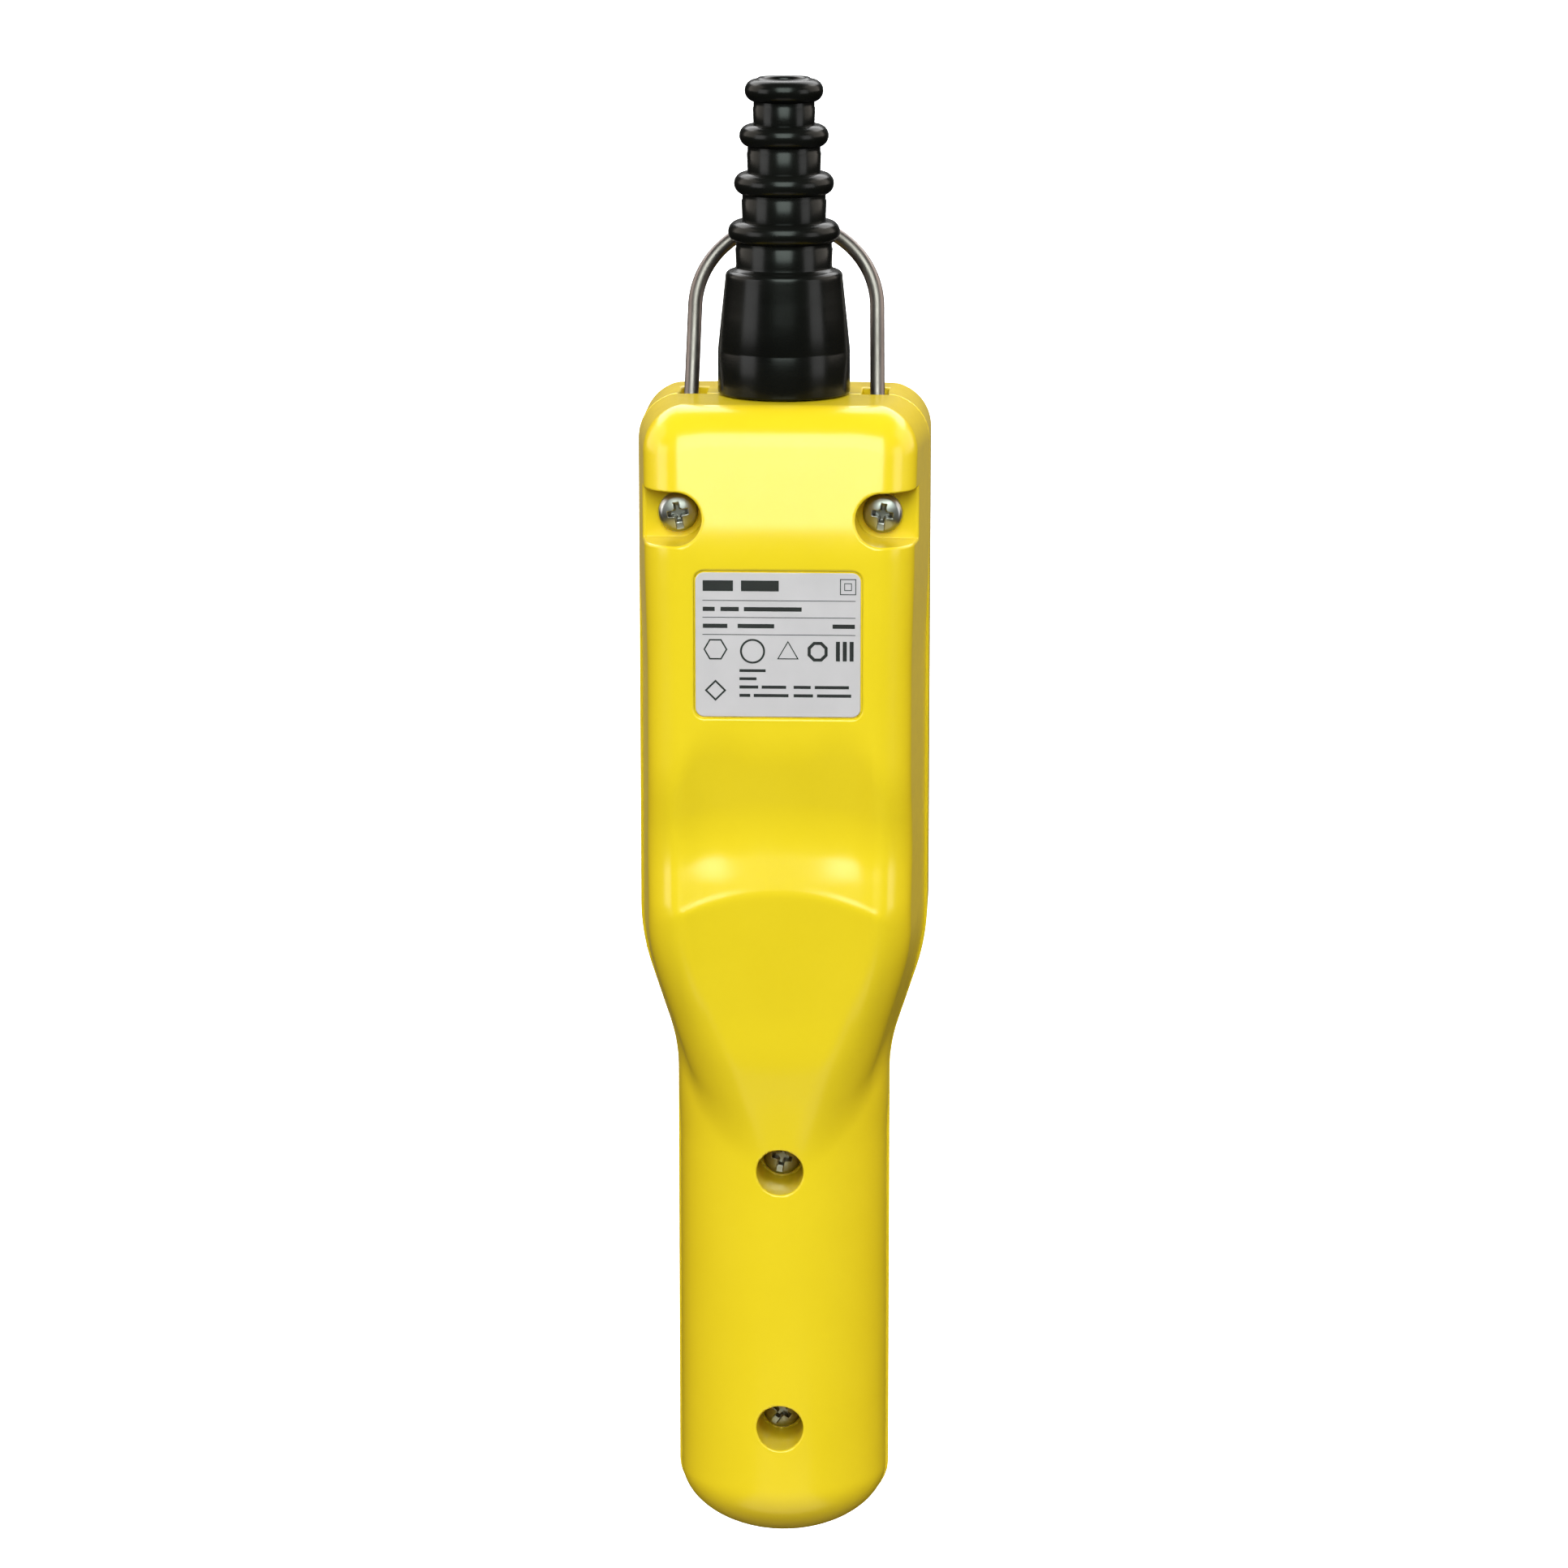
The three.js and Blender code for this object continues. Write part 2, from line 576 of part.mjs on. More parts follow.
function cableClamp() {
  const back = CLAMP.postTop + 0.1;
  const bar = box([-12, 12], [back, back + CLAMP.thick], [CLAMP.z - 3.4, CLAMP.z + 3.4]);
  const holes = sides.map((side) =>
    rodY(SMALL_SHANK_R + GAP, [back - 1, back + 4], side * CLAMP.x, CLAMP.z, 8));
  return cut(bar, ...holes);
}

place('cable_clamp', surface(cableClamp()), greyPlastic);

const clampFace = CLAMP.postTop + 0.1 + CLAMP.thick;
const carrierFace = CARRIER_Y + 1.7;
const smallScrews = [
  { name: 'clamp_screw', at: CLAMP, face: clampFace },
  { name: 'carrier_screw', at: CARRIER_SCREW, face: carrierFace },
];
for (const { name, at, face } of smallScrews) {
  place(`${name}_left`, surface(panScrew(smallScrew, -at.x, face, at.z)), steel);
  place(`${name}_right`, surface(panScrew(smallScrew, at.x, face, at.z)), steel);
}

// ---- contact carrier ----------------------------------------------------

function contactCarrier() {
  const { raise, lower } = BUTTON_HEIGHTS;
  const plate = box([-15, 15], [CARRIER_Y, carrierFace], [lower - 11, raise + 11]);
  const stemHoles = [raise, lower].map((z) => rodY(STEM_FLANGE_R + 0.5, [CARRIER_Y - 1, 0], 0, z));
  const screwHoles = sides.map((side) =>
    rodY(SMALL_SHANK_R + GAP, [CARRIER_Y - 1, 0], side * CARRIER_SCREW.x, CARRIER_SCREW.z, 8));
  return cut(plate, ...stemHoles, ...screwHoles);
}

place('contact_carrier', surface(contactCarrier()), greyPlastic);

// ---- push-button units --------------------------------------------------

const FLANGE_FRONT = -24.2;
const SPRING_SEAT = -17;
const BUSH_BACK = -13.6;
const BRIDGE_Y = -1;
const BRIDGE_THICK = 0.8;
const POCKET = { halfX: 7.4, halfZ: 4.6, floor: 8 };
const CONTACT = { inner: 4.6, outer: 16.4, screwX: 13.7, halfZ: 2.2, thick: 0.8 };

function bushing(z) {
  const guide = STEM_R + GAP;
  const front = -HEAD_FRONT - GAP;
  const pressedBack = CAP.back + TRAVEL + GAP;
  return turnedY([
    [guide, BUSH_BACK], [PANEL_HOLE_R - GAP, BUSH_BACK], [PANEL_HOLE_R - GAP, front], [13.6, front],
    [13.6, FLANGE_FRONT], [CAP.r + 0.4, FLANGE_FRONT], [CAP.r + 0.4, pressedBack], [8.2, pressedBack],
    [8.2, SPRING_SEAT], [guide, SPRING_SEAT], [guide, BUSH_BACK],
  ], 0, z, 20);
}

function fixingNut(z) {
  const back = -HEAD_FRONT + WALL + GAP;
  const hexagon = rodY(14, [back, back + 4], 0, z, 6);
  return hexagon.subtract(rodY(PANEL_HOLE_R, [back - 1, back + 5], 0, z, 24));
}

function bezelRing(z) {
  const back = FLANGE_FRONT - GAP;
  return turnedY([
    [11.4, back], [14.2, back], [14.2, back - 1.4], [13.6, back - 2], [11.4, back - 2], [11.4, back],
  ], 0, z);
}

// a rolled diaphragm between the bezel ring and the cap
function boot(z) {
  const lip = FLANGE_FRONT - GAP;
  return turnedY([
    [11, lip], [11, lip - 2.8], [10.5, lip - 3.5], [CAP.r + GAP, lip - 3.5], [CAP.r + GAP, lip - 2.8],
    [10.2, lip - 2.8], [10.2, lip], [11, lip],
  ], 0, z);
}

// up or down arrow, sunk into the cap's face
function arrow(z, direction) {
  const tip = 5.2 * direction;
  const barb = tip - 4.6 * direction;
  const points = [
    [0, tip], [4, barb], [1.5, barb], [1.5, -tip], [-1.5, -tip], [-1.5, barb], [-4, barb],
  ];
  const outlined = new THREE.Shape(points.map(([x, y]) => new THREE.Vector2(x, z + y)));
  return slab(outlined, [CAP.front - 1, CAP.front + 0.6]);
}

function cap(z, direction) {
  const disc = turnedY([
    [0, CAP.front], [7.6, CAP.front + 0.15], [CAP.r, CAP.front + 1.4], [CAP.r, CAP.back],
    [STEM_R + GAP, CAP.back], [STEM_R + GAP, CAP.front + CAP.socket], [0, CAP.front + CAP.socket],
  ], 0, z);
  return disc.subtract(arrow(z, direction));
}

function stem(z) {
  const front = CAP.front + CAP.socket + 0.1;
  const flange = BUSH_BACK + GAP;
  return turnedY([
    [0, front], [STEM_R, front], [STEM_R, flange], [STEM_FLANGE_R, flange], [STEM_FLANGE_R, flange + 1],
    [2.6, flange + 1], [2.6, BLOCK.front + 1.2], [0, BLOCK.front + 1.2],
  ], 0, z, 16);
}

function coil(z, { r, wire: wireR, turns, from, to }, perTurn, sidesOfWire) {
  const start = from + wireR + 0.2;
  const end = to - wireR - 0.2;
  const points = steps(0, 1, turns * perTurn).map((t) => new THREE.Vector3(
    r * Math.cos(2 * Math.PI * turns * t),
    lerp(start, end, t),
    z + r * Math.sin(2 * Math.PI * turns * t),
  ));
  return wire(new THREE.CatmullRomCurve3(points), wireR, turns * perTurn, sidesOfWire);
}

function contactBlock(z) {
  const { halfX, halfZ, front, back } = BLOCK;
  const housing = box([-halfX, halfX], [front, back], [z - halfZ, z + halfZ]);
  const pocket = box(
    [-POCKET.halfX, POCKET.halfX], [front - 1, POCKET.floor], [z - POCKET.halfZ, z + POCKET.halfZ],
  );
  const slot = sides.map((side) => box(
    span(side, POCKET.halfX - 1, halfX + 1),
    [contactY - GAP, contactY + CONTACT.thick + GAP],
    [z - CONTACT.halfZ - GAP, z + CONTACT.halfZ + GAP],
  ));
  return cut(housing, pocket, ...slot);
}

// the bridge stops just short of the fixed contacts at full travel
const contactY = BRIDGE_Y + BRIDGE_THICK + TRAVEL + 0.1;

function fixedContact(z, side) {
  const { inner, outer, halfZ, thick } = CONTACT;
  const strip = box(span(side, inner, outer), [contactY, contactY + thick], [z - halfZ, z + halfZ]);
  return strip.subtract(rodY(1.6, [contactY - 1, contactY + 2], side * CONTACT.screwX, z, 8));
}

const terminalScrew = { headR: 2.1, headHeight: 1.4, shankR: 1.2, shank: 3.4 };

// a slider with a window that carries the contact bridge
function slider(z) {
  const front = BLOCK.front + 1.3;
  const blade = box([-2.4, 2.4], [front, BRIDGE_Y + 3.2], [z - 3.2, z + 3.2]);
  const window = box([-3, 3], [BRIDGE_Y - 2.6, BRIDGE_Y + BRIDGE_THICK + GAP], [z - 2.3, z + 2.3]);
  return blade.subtract(window);
}

const bridge = (z) => box([-6.6, 6.6], [BRIDGE_Y, BRIDGE_Y + BRIDGE_THICK], [z - 2, z + 2]);

function buttonUnit(name, z, capMaterial, arrowDirection) {
  const add = (piece, geometry, material) => place(`${name}_${piece}`, geometry, material);
  add('button_cap', surface(cap(z, arrowDirection)), capMaterial);
  add('boot', surface(boot(z)), capMaterial);
  add('stem', surface(stem(z)), blackPlastic);
  add('bezel_ring', surface(bezelRing(z)), blackPlastic);
  add('bushing', surface(bushing(z)), blackPlastic);
  add('fixing_nut', surface(fixingNut(z)), greyPlastic);
  add('return_spring', coil(z, { ...SPRING, from: CAP.back, to: SPRING_SEAT }, 8, 5), steel);
  add('contact_block', surface(contactBlock(z)), blackPlastic);
  add('contact_slider', surface(slider(z)), whiteRubber);
  add('contact_bridge', surface(bridge(z)), brass);
  const contactSpring = { r: 1.2, wire: 0.2, turns: 2, from: BRIDGE_Y - 2.6, to: BRIDGE_Y };
  add('contact_spring', coil(z, contactSpring, 6, 4), steel);
  for (const side of sides) {
    const hand = side < 0 ? 'left' : 'right';
    add(`fixed_contact_${hand}`, surface(fixedContact(z, side)), brass);
    const screw = panScrew(terminalScrew, side * CONTACT.screwX, contactY + CONTACT.thick, z);
    add(`terminal_screw_${hand}`, surface(screw), steel);
  }
}

buttonUnit('raise', BUTTON_HEIGHTS.raise, whiteRubber, 1);
buttonUnit('lower', BUTTON_HEIGHTS.lower, blackRubber, -1);

// ---- frame --------------------------------------------------------------

const hangReach = BAIL_REACH - WIRE_R;
const hangPoint = new THREE.Vector3(
  0, -hangReach * Math.sin(BAIL_LEAN), BAIL_PIVOT_Z + hangReach * Math.cos(BAIL_LEAN),
);
station.position.copy(hangPoint).negate();

const pendant = new THREE.Group();
pendant.add(station);

export default pendant;
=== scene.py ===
"""Pendant control station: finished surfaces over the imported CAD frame.

Every size is in millimetres from the centre of the enclosure's flat top face, at the
parting plane; `place()` turns such points into the frame's metres. The back, with the
rating plate, faces +Y and the push-buttons face -Y.
"""
import json
import math

import bmesh  # noqa: E402
import bpy  # noqa: E402
import numpy as np  # noqa: E402
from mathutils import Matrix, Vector  # noqa: E402


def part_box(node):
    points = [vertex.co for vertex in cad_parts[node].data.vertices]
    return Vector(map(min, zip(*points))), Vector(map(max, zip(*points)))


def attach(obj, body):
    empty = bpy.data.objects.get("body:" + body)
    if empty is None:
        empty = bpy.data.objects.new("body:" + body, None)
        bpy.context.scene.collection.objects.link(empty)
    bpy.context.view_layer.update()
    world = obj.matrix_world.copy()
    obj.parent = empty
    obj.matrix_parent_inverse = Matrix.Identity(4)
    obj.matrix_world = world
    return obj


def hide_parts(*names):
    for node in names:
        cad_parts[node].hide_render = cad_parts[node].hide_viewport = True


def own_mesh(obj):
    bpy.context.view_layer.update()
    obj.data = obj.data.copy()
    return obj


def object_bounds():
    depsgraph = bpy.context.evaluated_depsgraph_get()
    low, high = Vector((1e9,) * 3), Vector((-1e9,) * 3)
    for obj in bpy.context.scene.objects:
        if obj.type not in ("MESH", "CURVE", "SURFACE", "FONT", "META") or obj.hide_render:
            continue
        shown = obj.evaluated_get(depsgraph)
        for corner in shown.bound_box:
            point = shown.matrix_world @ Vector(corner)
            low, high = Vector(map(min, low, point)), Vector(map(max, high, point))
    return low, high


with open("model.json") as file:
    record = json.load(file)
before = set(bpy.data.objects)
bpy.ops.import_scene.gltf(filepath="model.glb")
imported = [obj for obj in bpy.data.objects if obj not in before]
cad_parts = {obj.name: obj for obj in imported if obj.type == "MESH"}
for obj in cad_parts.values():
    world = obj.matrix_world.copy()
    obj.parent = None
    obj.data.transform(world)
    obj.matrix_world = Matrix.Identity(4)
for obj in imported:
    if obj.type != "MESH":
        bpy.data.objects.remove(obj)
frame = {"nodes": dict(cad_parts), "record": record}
cad_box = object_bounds()

MM = 0.001
GASKET_LOW, GASKET_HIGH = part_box("shell_gasket")
SHELL_LOW, SHELL_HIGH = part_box("rear_shell")
ORIGIN = np.array([0.0, (GASKET_LOW[1] + GASKET_HIGH[1]) / 2, SHELL_HIGH[2]])

# ---- driving dimensions ----------------------------------------------------------

HEAD_HALF = (SHELL_HIGH[0] - SHELL_LOW[0]) / 2 / MM
BODY_LENGTH = (SHELL_HIGH[2] - SHELL_LOW[2]) / MM
HEAD_REAR = 25.5
HEAD_FRONT = 22.0
GRIP_R = 19.3
GRIP_FRONT = 19.0
END_ROUNDING = 12.0
EDGE_R = 6.3
SIDE_DRAFT = 0.115
WALL = 2.4
SEAM = 0.15
PAD_FOOT = -22.8
PAD_SLOPE = math.tan(math.radians(12))
TAPER_MIDDLE = -99.0
TAPER_SLOPE = 0.33

TOP_SCREW = {"x": 18.0, "z": -18.9, "floor": 14.5, "r": 4.6}
GRIP_SCREW_Z = (-138.5, -186.7)
GRIP_WELL = {"floor": 5.9, "r": 4.22}
SCREW_HEAD_R = 3.5
SCREW_HEAD_H = 2.4
PLATE = {"w": 28.9, "h": 25.6, "z": -40.8, "back": 25.05, "thick": 0.35, "corner": 1.5}

SLEEVE_TOP = 56.0
SLEEVE_BASE_R = 11.75
SLEEVE_SEAT_R = 9.2
SLEEVE_BORE = 3.45
RINGS = ((28.9, 9.9, 8.5), (37.4, 8.85, 7.4), (45.8, 7.9, 6.45), (53.7, 6.95, 5.4))
RING_MINOR = 2.0

WIRE_R = 1.3
BAIL_LEG_X = 16.65
BAIL_ARCH_R = 16.3
BAIL_FOOT_X = 21.4
BAIL_PIVOT_Z = -3.8
BAIL_REACH = 36.45
BAIL_BEND = 2.2
BAIL_LEAN = math.radians(26.5)
BAIL_SLOT = (13.9, 18.4, -8.6)

BUTTONS = {"raise": -37.0, "lower": -74.0}
PANEL_HOLE_R = 11.15
GUARD = {"inner": 14.8, "outer": 17.0, "front": -27.5}
CAP = {"r": 9.2, "front": -29.6, "back": -25.8}


# ---- fields: negative inside, in millimetres --------------------------------------


def smin(a, b, k):
    h = np.clip(0.5 + 0.5 * (b - a) / k, 0, 1)
    return b + (a - b) * h - k * h * (1 - h)


def smax(a, b, k):
    return -smin(-a, -b, k)


def rmax(a, b, r):
    """Intersection whose convex edge is rounded with radius r."""
    outer = np.hypot(np.maximum(a + r, 0), np.maximum(b + r, 0)) - r
    return np.where((a > -r) & (b > -r), outer, np.maximum(a, b))


def ramp(t, soft):
    """max(t, 0) with a soft knee reaching `soft` either side."""
    return np.where(t > soft, t, np.where(t < -soft, 0, (t + soft) ** 2 / (4 * soft)))


def smooth(t, low, high):
    u = np.clip((t - low) / (high - low), 0, 1)
    return u * u * (3 - 2 * u)


def section(x, y, w, d, r):
    """Rounded oblong reaching w across and d deep."""
    qx, qy = x - (w - r), y - (d - r)
    return np.hypot(np.maximum(qx, 0), np.maximum(qy, 0)) + np.minimum(np.maximum(qx, qy), 0) - r


def block(x, y, z, xs, ys, zs):
    def side(v, low, high):
        return np.maximum(low - v, v - high)

    return np.maximum(np.maximum(side(x, *xs), side(y, *ys)), side(z, *zs))


def rod(u, v, r, along, low, high):
    return np.maximum(np.hypot(u, v) - r, np.maximum(low - along, along - high))


def half_width(down):
    """Half-width of the head block, narrowing below the finger crest."""
    return HEAD_HALF - TAPER_SLOPE * ramp(down + TAPER_MIDDLE, 6.0)


def back_face(x, z):
    """How deep the back reaches behind the parting plane.

    From the top down: tilted pad, plate face, finger saddle with two knolls above its
    lipped crest, a long face, a second gentle crest and the slope onto the grip.
    """
    ax, up = np.abs(x), z + 71.0
    flat = HEAD_REAR - PAD_SLOPE * ramp(z - PAD_FOOT, 3.5)
    start = 11.3 + 2.4 * np.exp(-(((ax - 10.8) / 4.5) ** 2)) - 6.0 * smooth(ax, 13, 20)
    fall = 0.2 * ramp(start - up, 3.2)
    rise = 0.385 * ramp(-3.2 - up - 0.008 * x * x, 5.0)
    knoll = 0.37 * np.exp(-(((ax - 11.4) / 4.2) ** 2)) * smooth(-up, 6.5, 13.5)
    bow = up + 0.0135 * x * x
    lip = 0.11 * smooth(ax, 2, 12) * smooth(-bow, 13.0, 14.9)
    depth = flat - fall + rise + knoll + lip - 0.295 * ramp(-14.7 - bow, 0.8)
    cup = up - 0.016 * x * x
    depth = smax(depth, 21.4 + 0.05 * (-38.5 - cup), 1.0)
    return smin(depth, 21.7 - 0.18 * (-46.0 - cup), 0.8)


def finish_ends(side, x, z):
    """Rounds the sides over into the top face and the bottom end."""
    roll = 6.5 + 1.5 * smooth(np.abs(x), 12, 22)
    body = rmax(side, z, roll)
    end = np.maximum(-z - (BODY_LENGTH - END_ROUNDING), 0) * GRIP_R / END_ROUNDING
    return np.where(end > 0, np.hypot(body + GRIP_R, end) - GRIP_R, body)


def rear_form(x, y, z):
    ax, down = np.abs(x), -z
    # the grip's neck keeps its full width over the gasket
    over_gasket = smooth(down, 100, 110) * smooth(-down, -136, -126)
    inside_lip = 0.45 * smooth(down, 24, 48) - 0.3 * over_gasket
    draft = (SIDE_DRAFT + 0.065 * smooth(down, 91, 112)) * np.maximum(y, 0)
    width = half_width(down) - inside_lip - draft
    corner = EDGE_R + 2.7 * smooth(down, 91, 127)
    head = section(ax, y, width, back_face(x, z), corner)
    grip = np.hypot(x, y) - (GRIP_R - inside_lip)
    return finish_ends(smin(head, grip, 1.5), x, z)


def front_form(x, y, z):
    down = -z
    taper = smooth(down, 91, 127)
    width = smax(half_width(down), GRIP_R, 1.5)
    depth = HEAD_FRONT + (GRIP_FRONT - HEAD_FRONT) * taper
    corner = EDGE_R + (GRIP_FRONT - 0.3 - EDGE_R) * taper
    return finish_ends(section(np.abs(x), -y, width, depth, corner), x, z)


def sleeve_room(x, y, z):
    seat = rod(x, y, SLEEVE_SEAT_R + 0.3, z, -5, 2)
    flange = rod(x, y, SLEEVE_BASE_R + 0.6, z, -9.3, -4)
    return np.minimum(seat, flange)


def foot_room(x, y, z):
    ax = np.abs(x)
    return rod(y, z - BAIL_PIVOT_Z, WIRE_R + 0.3, ax, BAIL_SLOT[0], BAIL_FOOT_X + 0.3)


def foot_block(x, y, z):
    return block(np.abs(x), y, z, (BAIL_SLOT[0] - 1.2, HEAD_HALF), (-11, 6), (BAIL_PIVOT_Z - 4.2, 0))


def hollow(form, *solids):
    shell = np.maximum(form, -(form + WALL))
    for solid in solids:
        shell = np.minimum(shell, np.maximum(form, solid))
    return shell


def top_recess(x, y, z):
    """Plan of the recess round a top screw, which runs out through the side wall."""
    dx, dz = np.abs(x) - TOP_SCREW["x"], z - TOP_SCREW["z"]
    return np.where(dx < 0, np.hypot(dx, dz), np.abs(dz)) - TOP_SCREW["r"]


def rear_shell(x, y, z):
    form = rear_form(x, y, z)
    wells = [np.hypot(x, z - zc) for zc in GRIP_SCREW_Z]
    plan, floor = top_recess(x, y, z), TOP_SCREW["floor"]
    housings = [np.maximum(w - GRIP_WELL["r"] - 2, GRIP_WELL["floor"] - 2 - y) for w in wells]
    housings.append(np.maximum(plan - WALL, floor - 2 - y))
    shell = hollow(form, foot_block(x, y, z), *housings)
    for well in wells:
        shell = rmax(shell, -np.maximum(well - GRIP_WELL["r"], GRIP_WELL["floor"] - y), 0.3)
        shell = np.maximum(shell, 2.05 - well)
    shell = rmax(shell, -np.maximum(plan, floor - y), 0.45)
    shank = np.hypot(np.abs(x) - TOP_SCREW["x"], z - TOP_SCREW["z"])
    shell = np.maximum(shell, 2.05 - shank)
    pocket = section(np.abs(x), np.abs(z - PLATE["z"]), PLATE["w"] / 2 + 0.3, PLATE["h"] / 2 + 0.3, 1.8)
    shell = rmax(shell, -np.maximum(pocket, PLATE["back"] - 0.05 - y), 0.45)
    shell = np.maximum(shell, -sleeve_room(x, y, z))
    shell = np.maximum(shell, -foot_room(x, y, z))
    leg = block(np.abs(x), y, z, BAIL_SLOT[:2], (0, WIRE_R + 0.3), (BAIL_PIVOT_Z, -1))
    shell = np.maximum(shell, -leg)
    return rmax(shell, SEAM - y, 0.15)


def front_shell(x, y, z):
    form = front_form(x, y, z)
    shell = hollow(form, foot_block(x, y, z))
    for zc in BUTTONS.values():
        r = np.hypot(x, z - zc)
        wall = np.maximum(r - GUARD["outer"] + 0.45 * (y + 22) / 5.5, GUARD["inner"] - r)
        collar = rmax(wall, np.maximum(GUARD["front"] - y, y + HEAD_FRONT - WALL), 0.9)
        shell = smin(shell, collar, 0.8)
        shell = rmax(shell, -rod(x, z - zc, PANEL_HOLE_R, y, -40, 0), 0.3)
    inner, outer, front = BAIL_SLOT
    slot = block(np.abs(x), y, z, (inner, outer), (front, 1), (BAIL_PIVOT_Z - 2, 3))
    shell = rmax(shell, -slot, 0.25)
    shell = np.maximum(shell, -sleeve_room(x, y, z))
    shell = np.maximum(shell, -foot_room(x, y, z))
    return rmax(shell, y + SEAM, 0.15)


# ---- meshes -----------------------------------------------------------------------


def graded(low, high, step, *bands):
    """Grid stops from low to high, `step` apart, finer inside each (from, to, step) band."""
    stops, at = [low], low
    while at < high:
        at += min([step] + [b[2] for b in bands if b[0] - step < at < b[1]])
        stops.append(at)
    return np.array(stops)


def gradient(field, p, eps=0.01):
    out = np.empty_like(p)
    for a in range(3):
        shift = np.zeros(3)
        shift[a] = eps
        out[:, a] = (field(*(p + shift).T) - field(*(p - shift).T)) / (2 * eps)
    return out


def surface_net(field, xs, ys, zs):
    """Quads along the zero surface of a field, with vertices and normals drawn onto it."""
    f = field(*np.meshgrid(xs, ys, zs, indexing="ij", sparse=False)).astype(np.float32)
    inside = f < 0
    shape = tuple(n - 1 for n in f.shape)
    corners = [(i, j, k) for i in (0, 1) for j in (0, 1) for k in (0, 1)]

    def part(a, c):
        return a[c[0] : c[0] + shape[0], c[1] : c[1] + shape[1], c[2] : c[2] + shape[2]]

    count = sum(part(inside, c).astype(np.int8) for c in corners)
    cells = np.argwhere((count > 0) & (count < 8))
    number = np.full(shape, -1, np.int64)
    number[tuple(cells.T)] = np.arange(len(cells))
    stops = (xs, ys, zs)
    total, hits = np.zeros((len(cells), 3)), np.zeros(len(cells))
    for c in corners:
        for axis in range(3):
            if c[axis]:
                continue
            d = list(c)
            d[axis] = 1
            a, b = cells + c, cells + d
            fa, fb = f[tuple(a.T)], f[tuple(b.T)]
            cross = (fa < 0) != (fb < 0)
            t = np.where(cross, fa / np.where(cross, fa - fb, 1), 0)
            pa = np.stack([stops[n][a[:, n]] for n in range(3)], 1)
            pb = np.stack([stops[n][b[:, n]] for n in range(3)], 1)
            total += np.where(cross[:, None], pa + (pb - pa) * t[:, None], 0)
            hits += cross
    points = total / hits[:, None]
    size = np.stack([np.diff(stops[n])[cells[:, n]] for n in range(3)], 1)
    for _ in range(3):
        g = gradient(field, points)
        step = field(*points.T)[:, None] * g / np.maximum((g * g).sum(1), 0.05)[:, None]
        points -= np.clip(step, -0.4 * size, 0.4 * size)
    quads = []
    for axis in range(3):
        u, v = (axis + 1) % 3, (axis + 2) % 3
        sel = [slice(None)] * 3
        ahead = list(sel)
        sel[axis], ahead[axis] = slice(0, -1), slice(1, None)
        flips = inside[tuple(sel)] != inside[tuple(ahead)]
        at = np.argwhere(flips)
        at = at[(at[:, u] > 0) & (at[:, v] > 0) & (at[:, u] < shape[u]) & (at[:, v] < shape[v])]
        ring = []
        for du, dv in ((1, 1), (0, 1), (0, 0), (1, 0)):
            q = at.copy()
            q[:, u] -= du
            q[:, v] -= dv
            ring.append(number[tuple(q.T)])
        ring = np.stack(ring, 1)
        outward = inside[tuple(at.T)]
        quads.append(np.where(outward[:, None], ring, ring[:, ::-1]))
    normals = gradient(field, points)
    return points, np.concatenate(quads), normals / np.linalg.norm(normals, axis=1)[:, None]


def place(points):
    return np.asarray(points, float) * MM + ORIGIN


def piece(name, points, faces, material, body, *nodes, normals=None, sharp=None):
    mesh = bpy.data.meshes.new(name)
    mesh.from_pydata([tuple(p) for p in place(points)], [], [tuple(int(i) for i in f) for f in faces])
    mesh.validate()
    mesh.update()
    mesh.shade_smooth()
    if sharp is not None:
        mesh.set_sharp_from_angle(angle=math.radians(sharp))
    if normals is not None:
        mesh.normals_split_custom_set_from_vertices([tuple(n) for n in normals])
    mesh.materials.append(material)
    obj = bpy.data.objects.new(name, mesh)
    bpy.context.scene.collection.objects.link(obj)
    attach(obj, body)
    if nodes:
        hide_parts(*nodes)
    return obj


def net_piece(name, field, axes, material, body, *nodes):
    points, faces, normals = surface_net(field, *axes)
    return piece(name, points, faces, material, body, *nodes, normals=normals)


def lathe(profile, sides, axis="z", centre=(0, 0, 0)):
    """Closed turned body; a profile that starts and ends at radius 0 gets two poles."""
    profile = np.array(profile, float)
    solid = profile[0, 0] < 1e-9
    body = profile[1:-1] if solid else profile
    turn = np.linspace(0, 2 * math.pi, sides, endpoint=False)
    c, s = np.cos(turn), np.sin(turn)
    rings = []
    for r, h in body:
        along = np.full(sides, h)
        rings.append(np.stack([r * c, r * s, along], 1))
    points = np.concatenate(rings)
    n = len(body)
    faces = []
    for i in range(n - 1 if solid else n):
        j = (i + 1) % n
        for k in range(sides):
            m = (k + 1) % sides
            faces.append((i * sides + k, i * sides + m, j * sides + m, j * sides + k))
    if solid:
        low, high = len(points), len(points) + 1
        points = np.concatenate([points, [[0, 0, profile[0, 1]], [0, 0, profile[-1, 1]]]])
        for k in range(sides):
            m = (k + 1) % sides
            faces.append((low, m, k))
            faces.append((high, (n - 1) * sides + k, (n - 1) * sides + m))
    if axis == "y":
        points = points[:, [0, 2, 1]]
        faces = [f[::-1] for f in faces]
    return points + np.array(centre, float), faces


def arc(centre, radius, start, end, count):
    turn = np.radians(np.linspace(start, end, count))
    return [(centre[0] + radius * math.cos(a), centre[1] + radius * math.sin(a)) for a in turn]


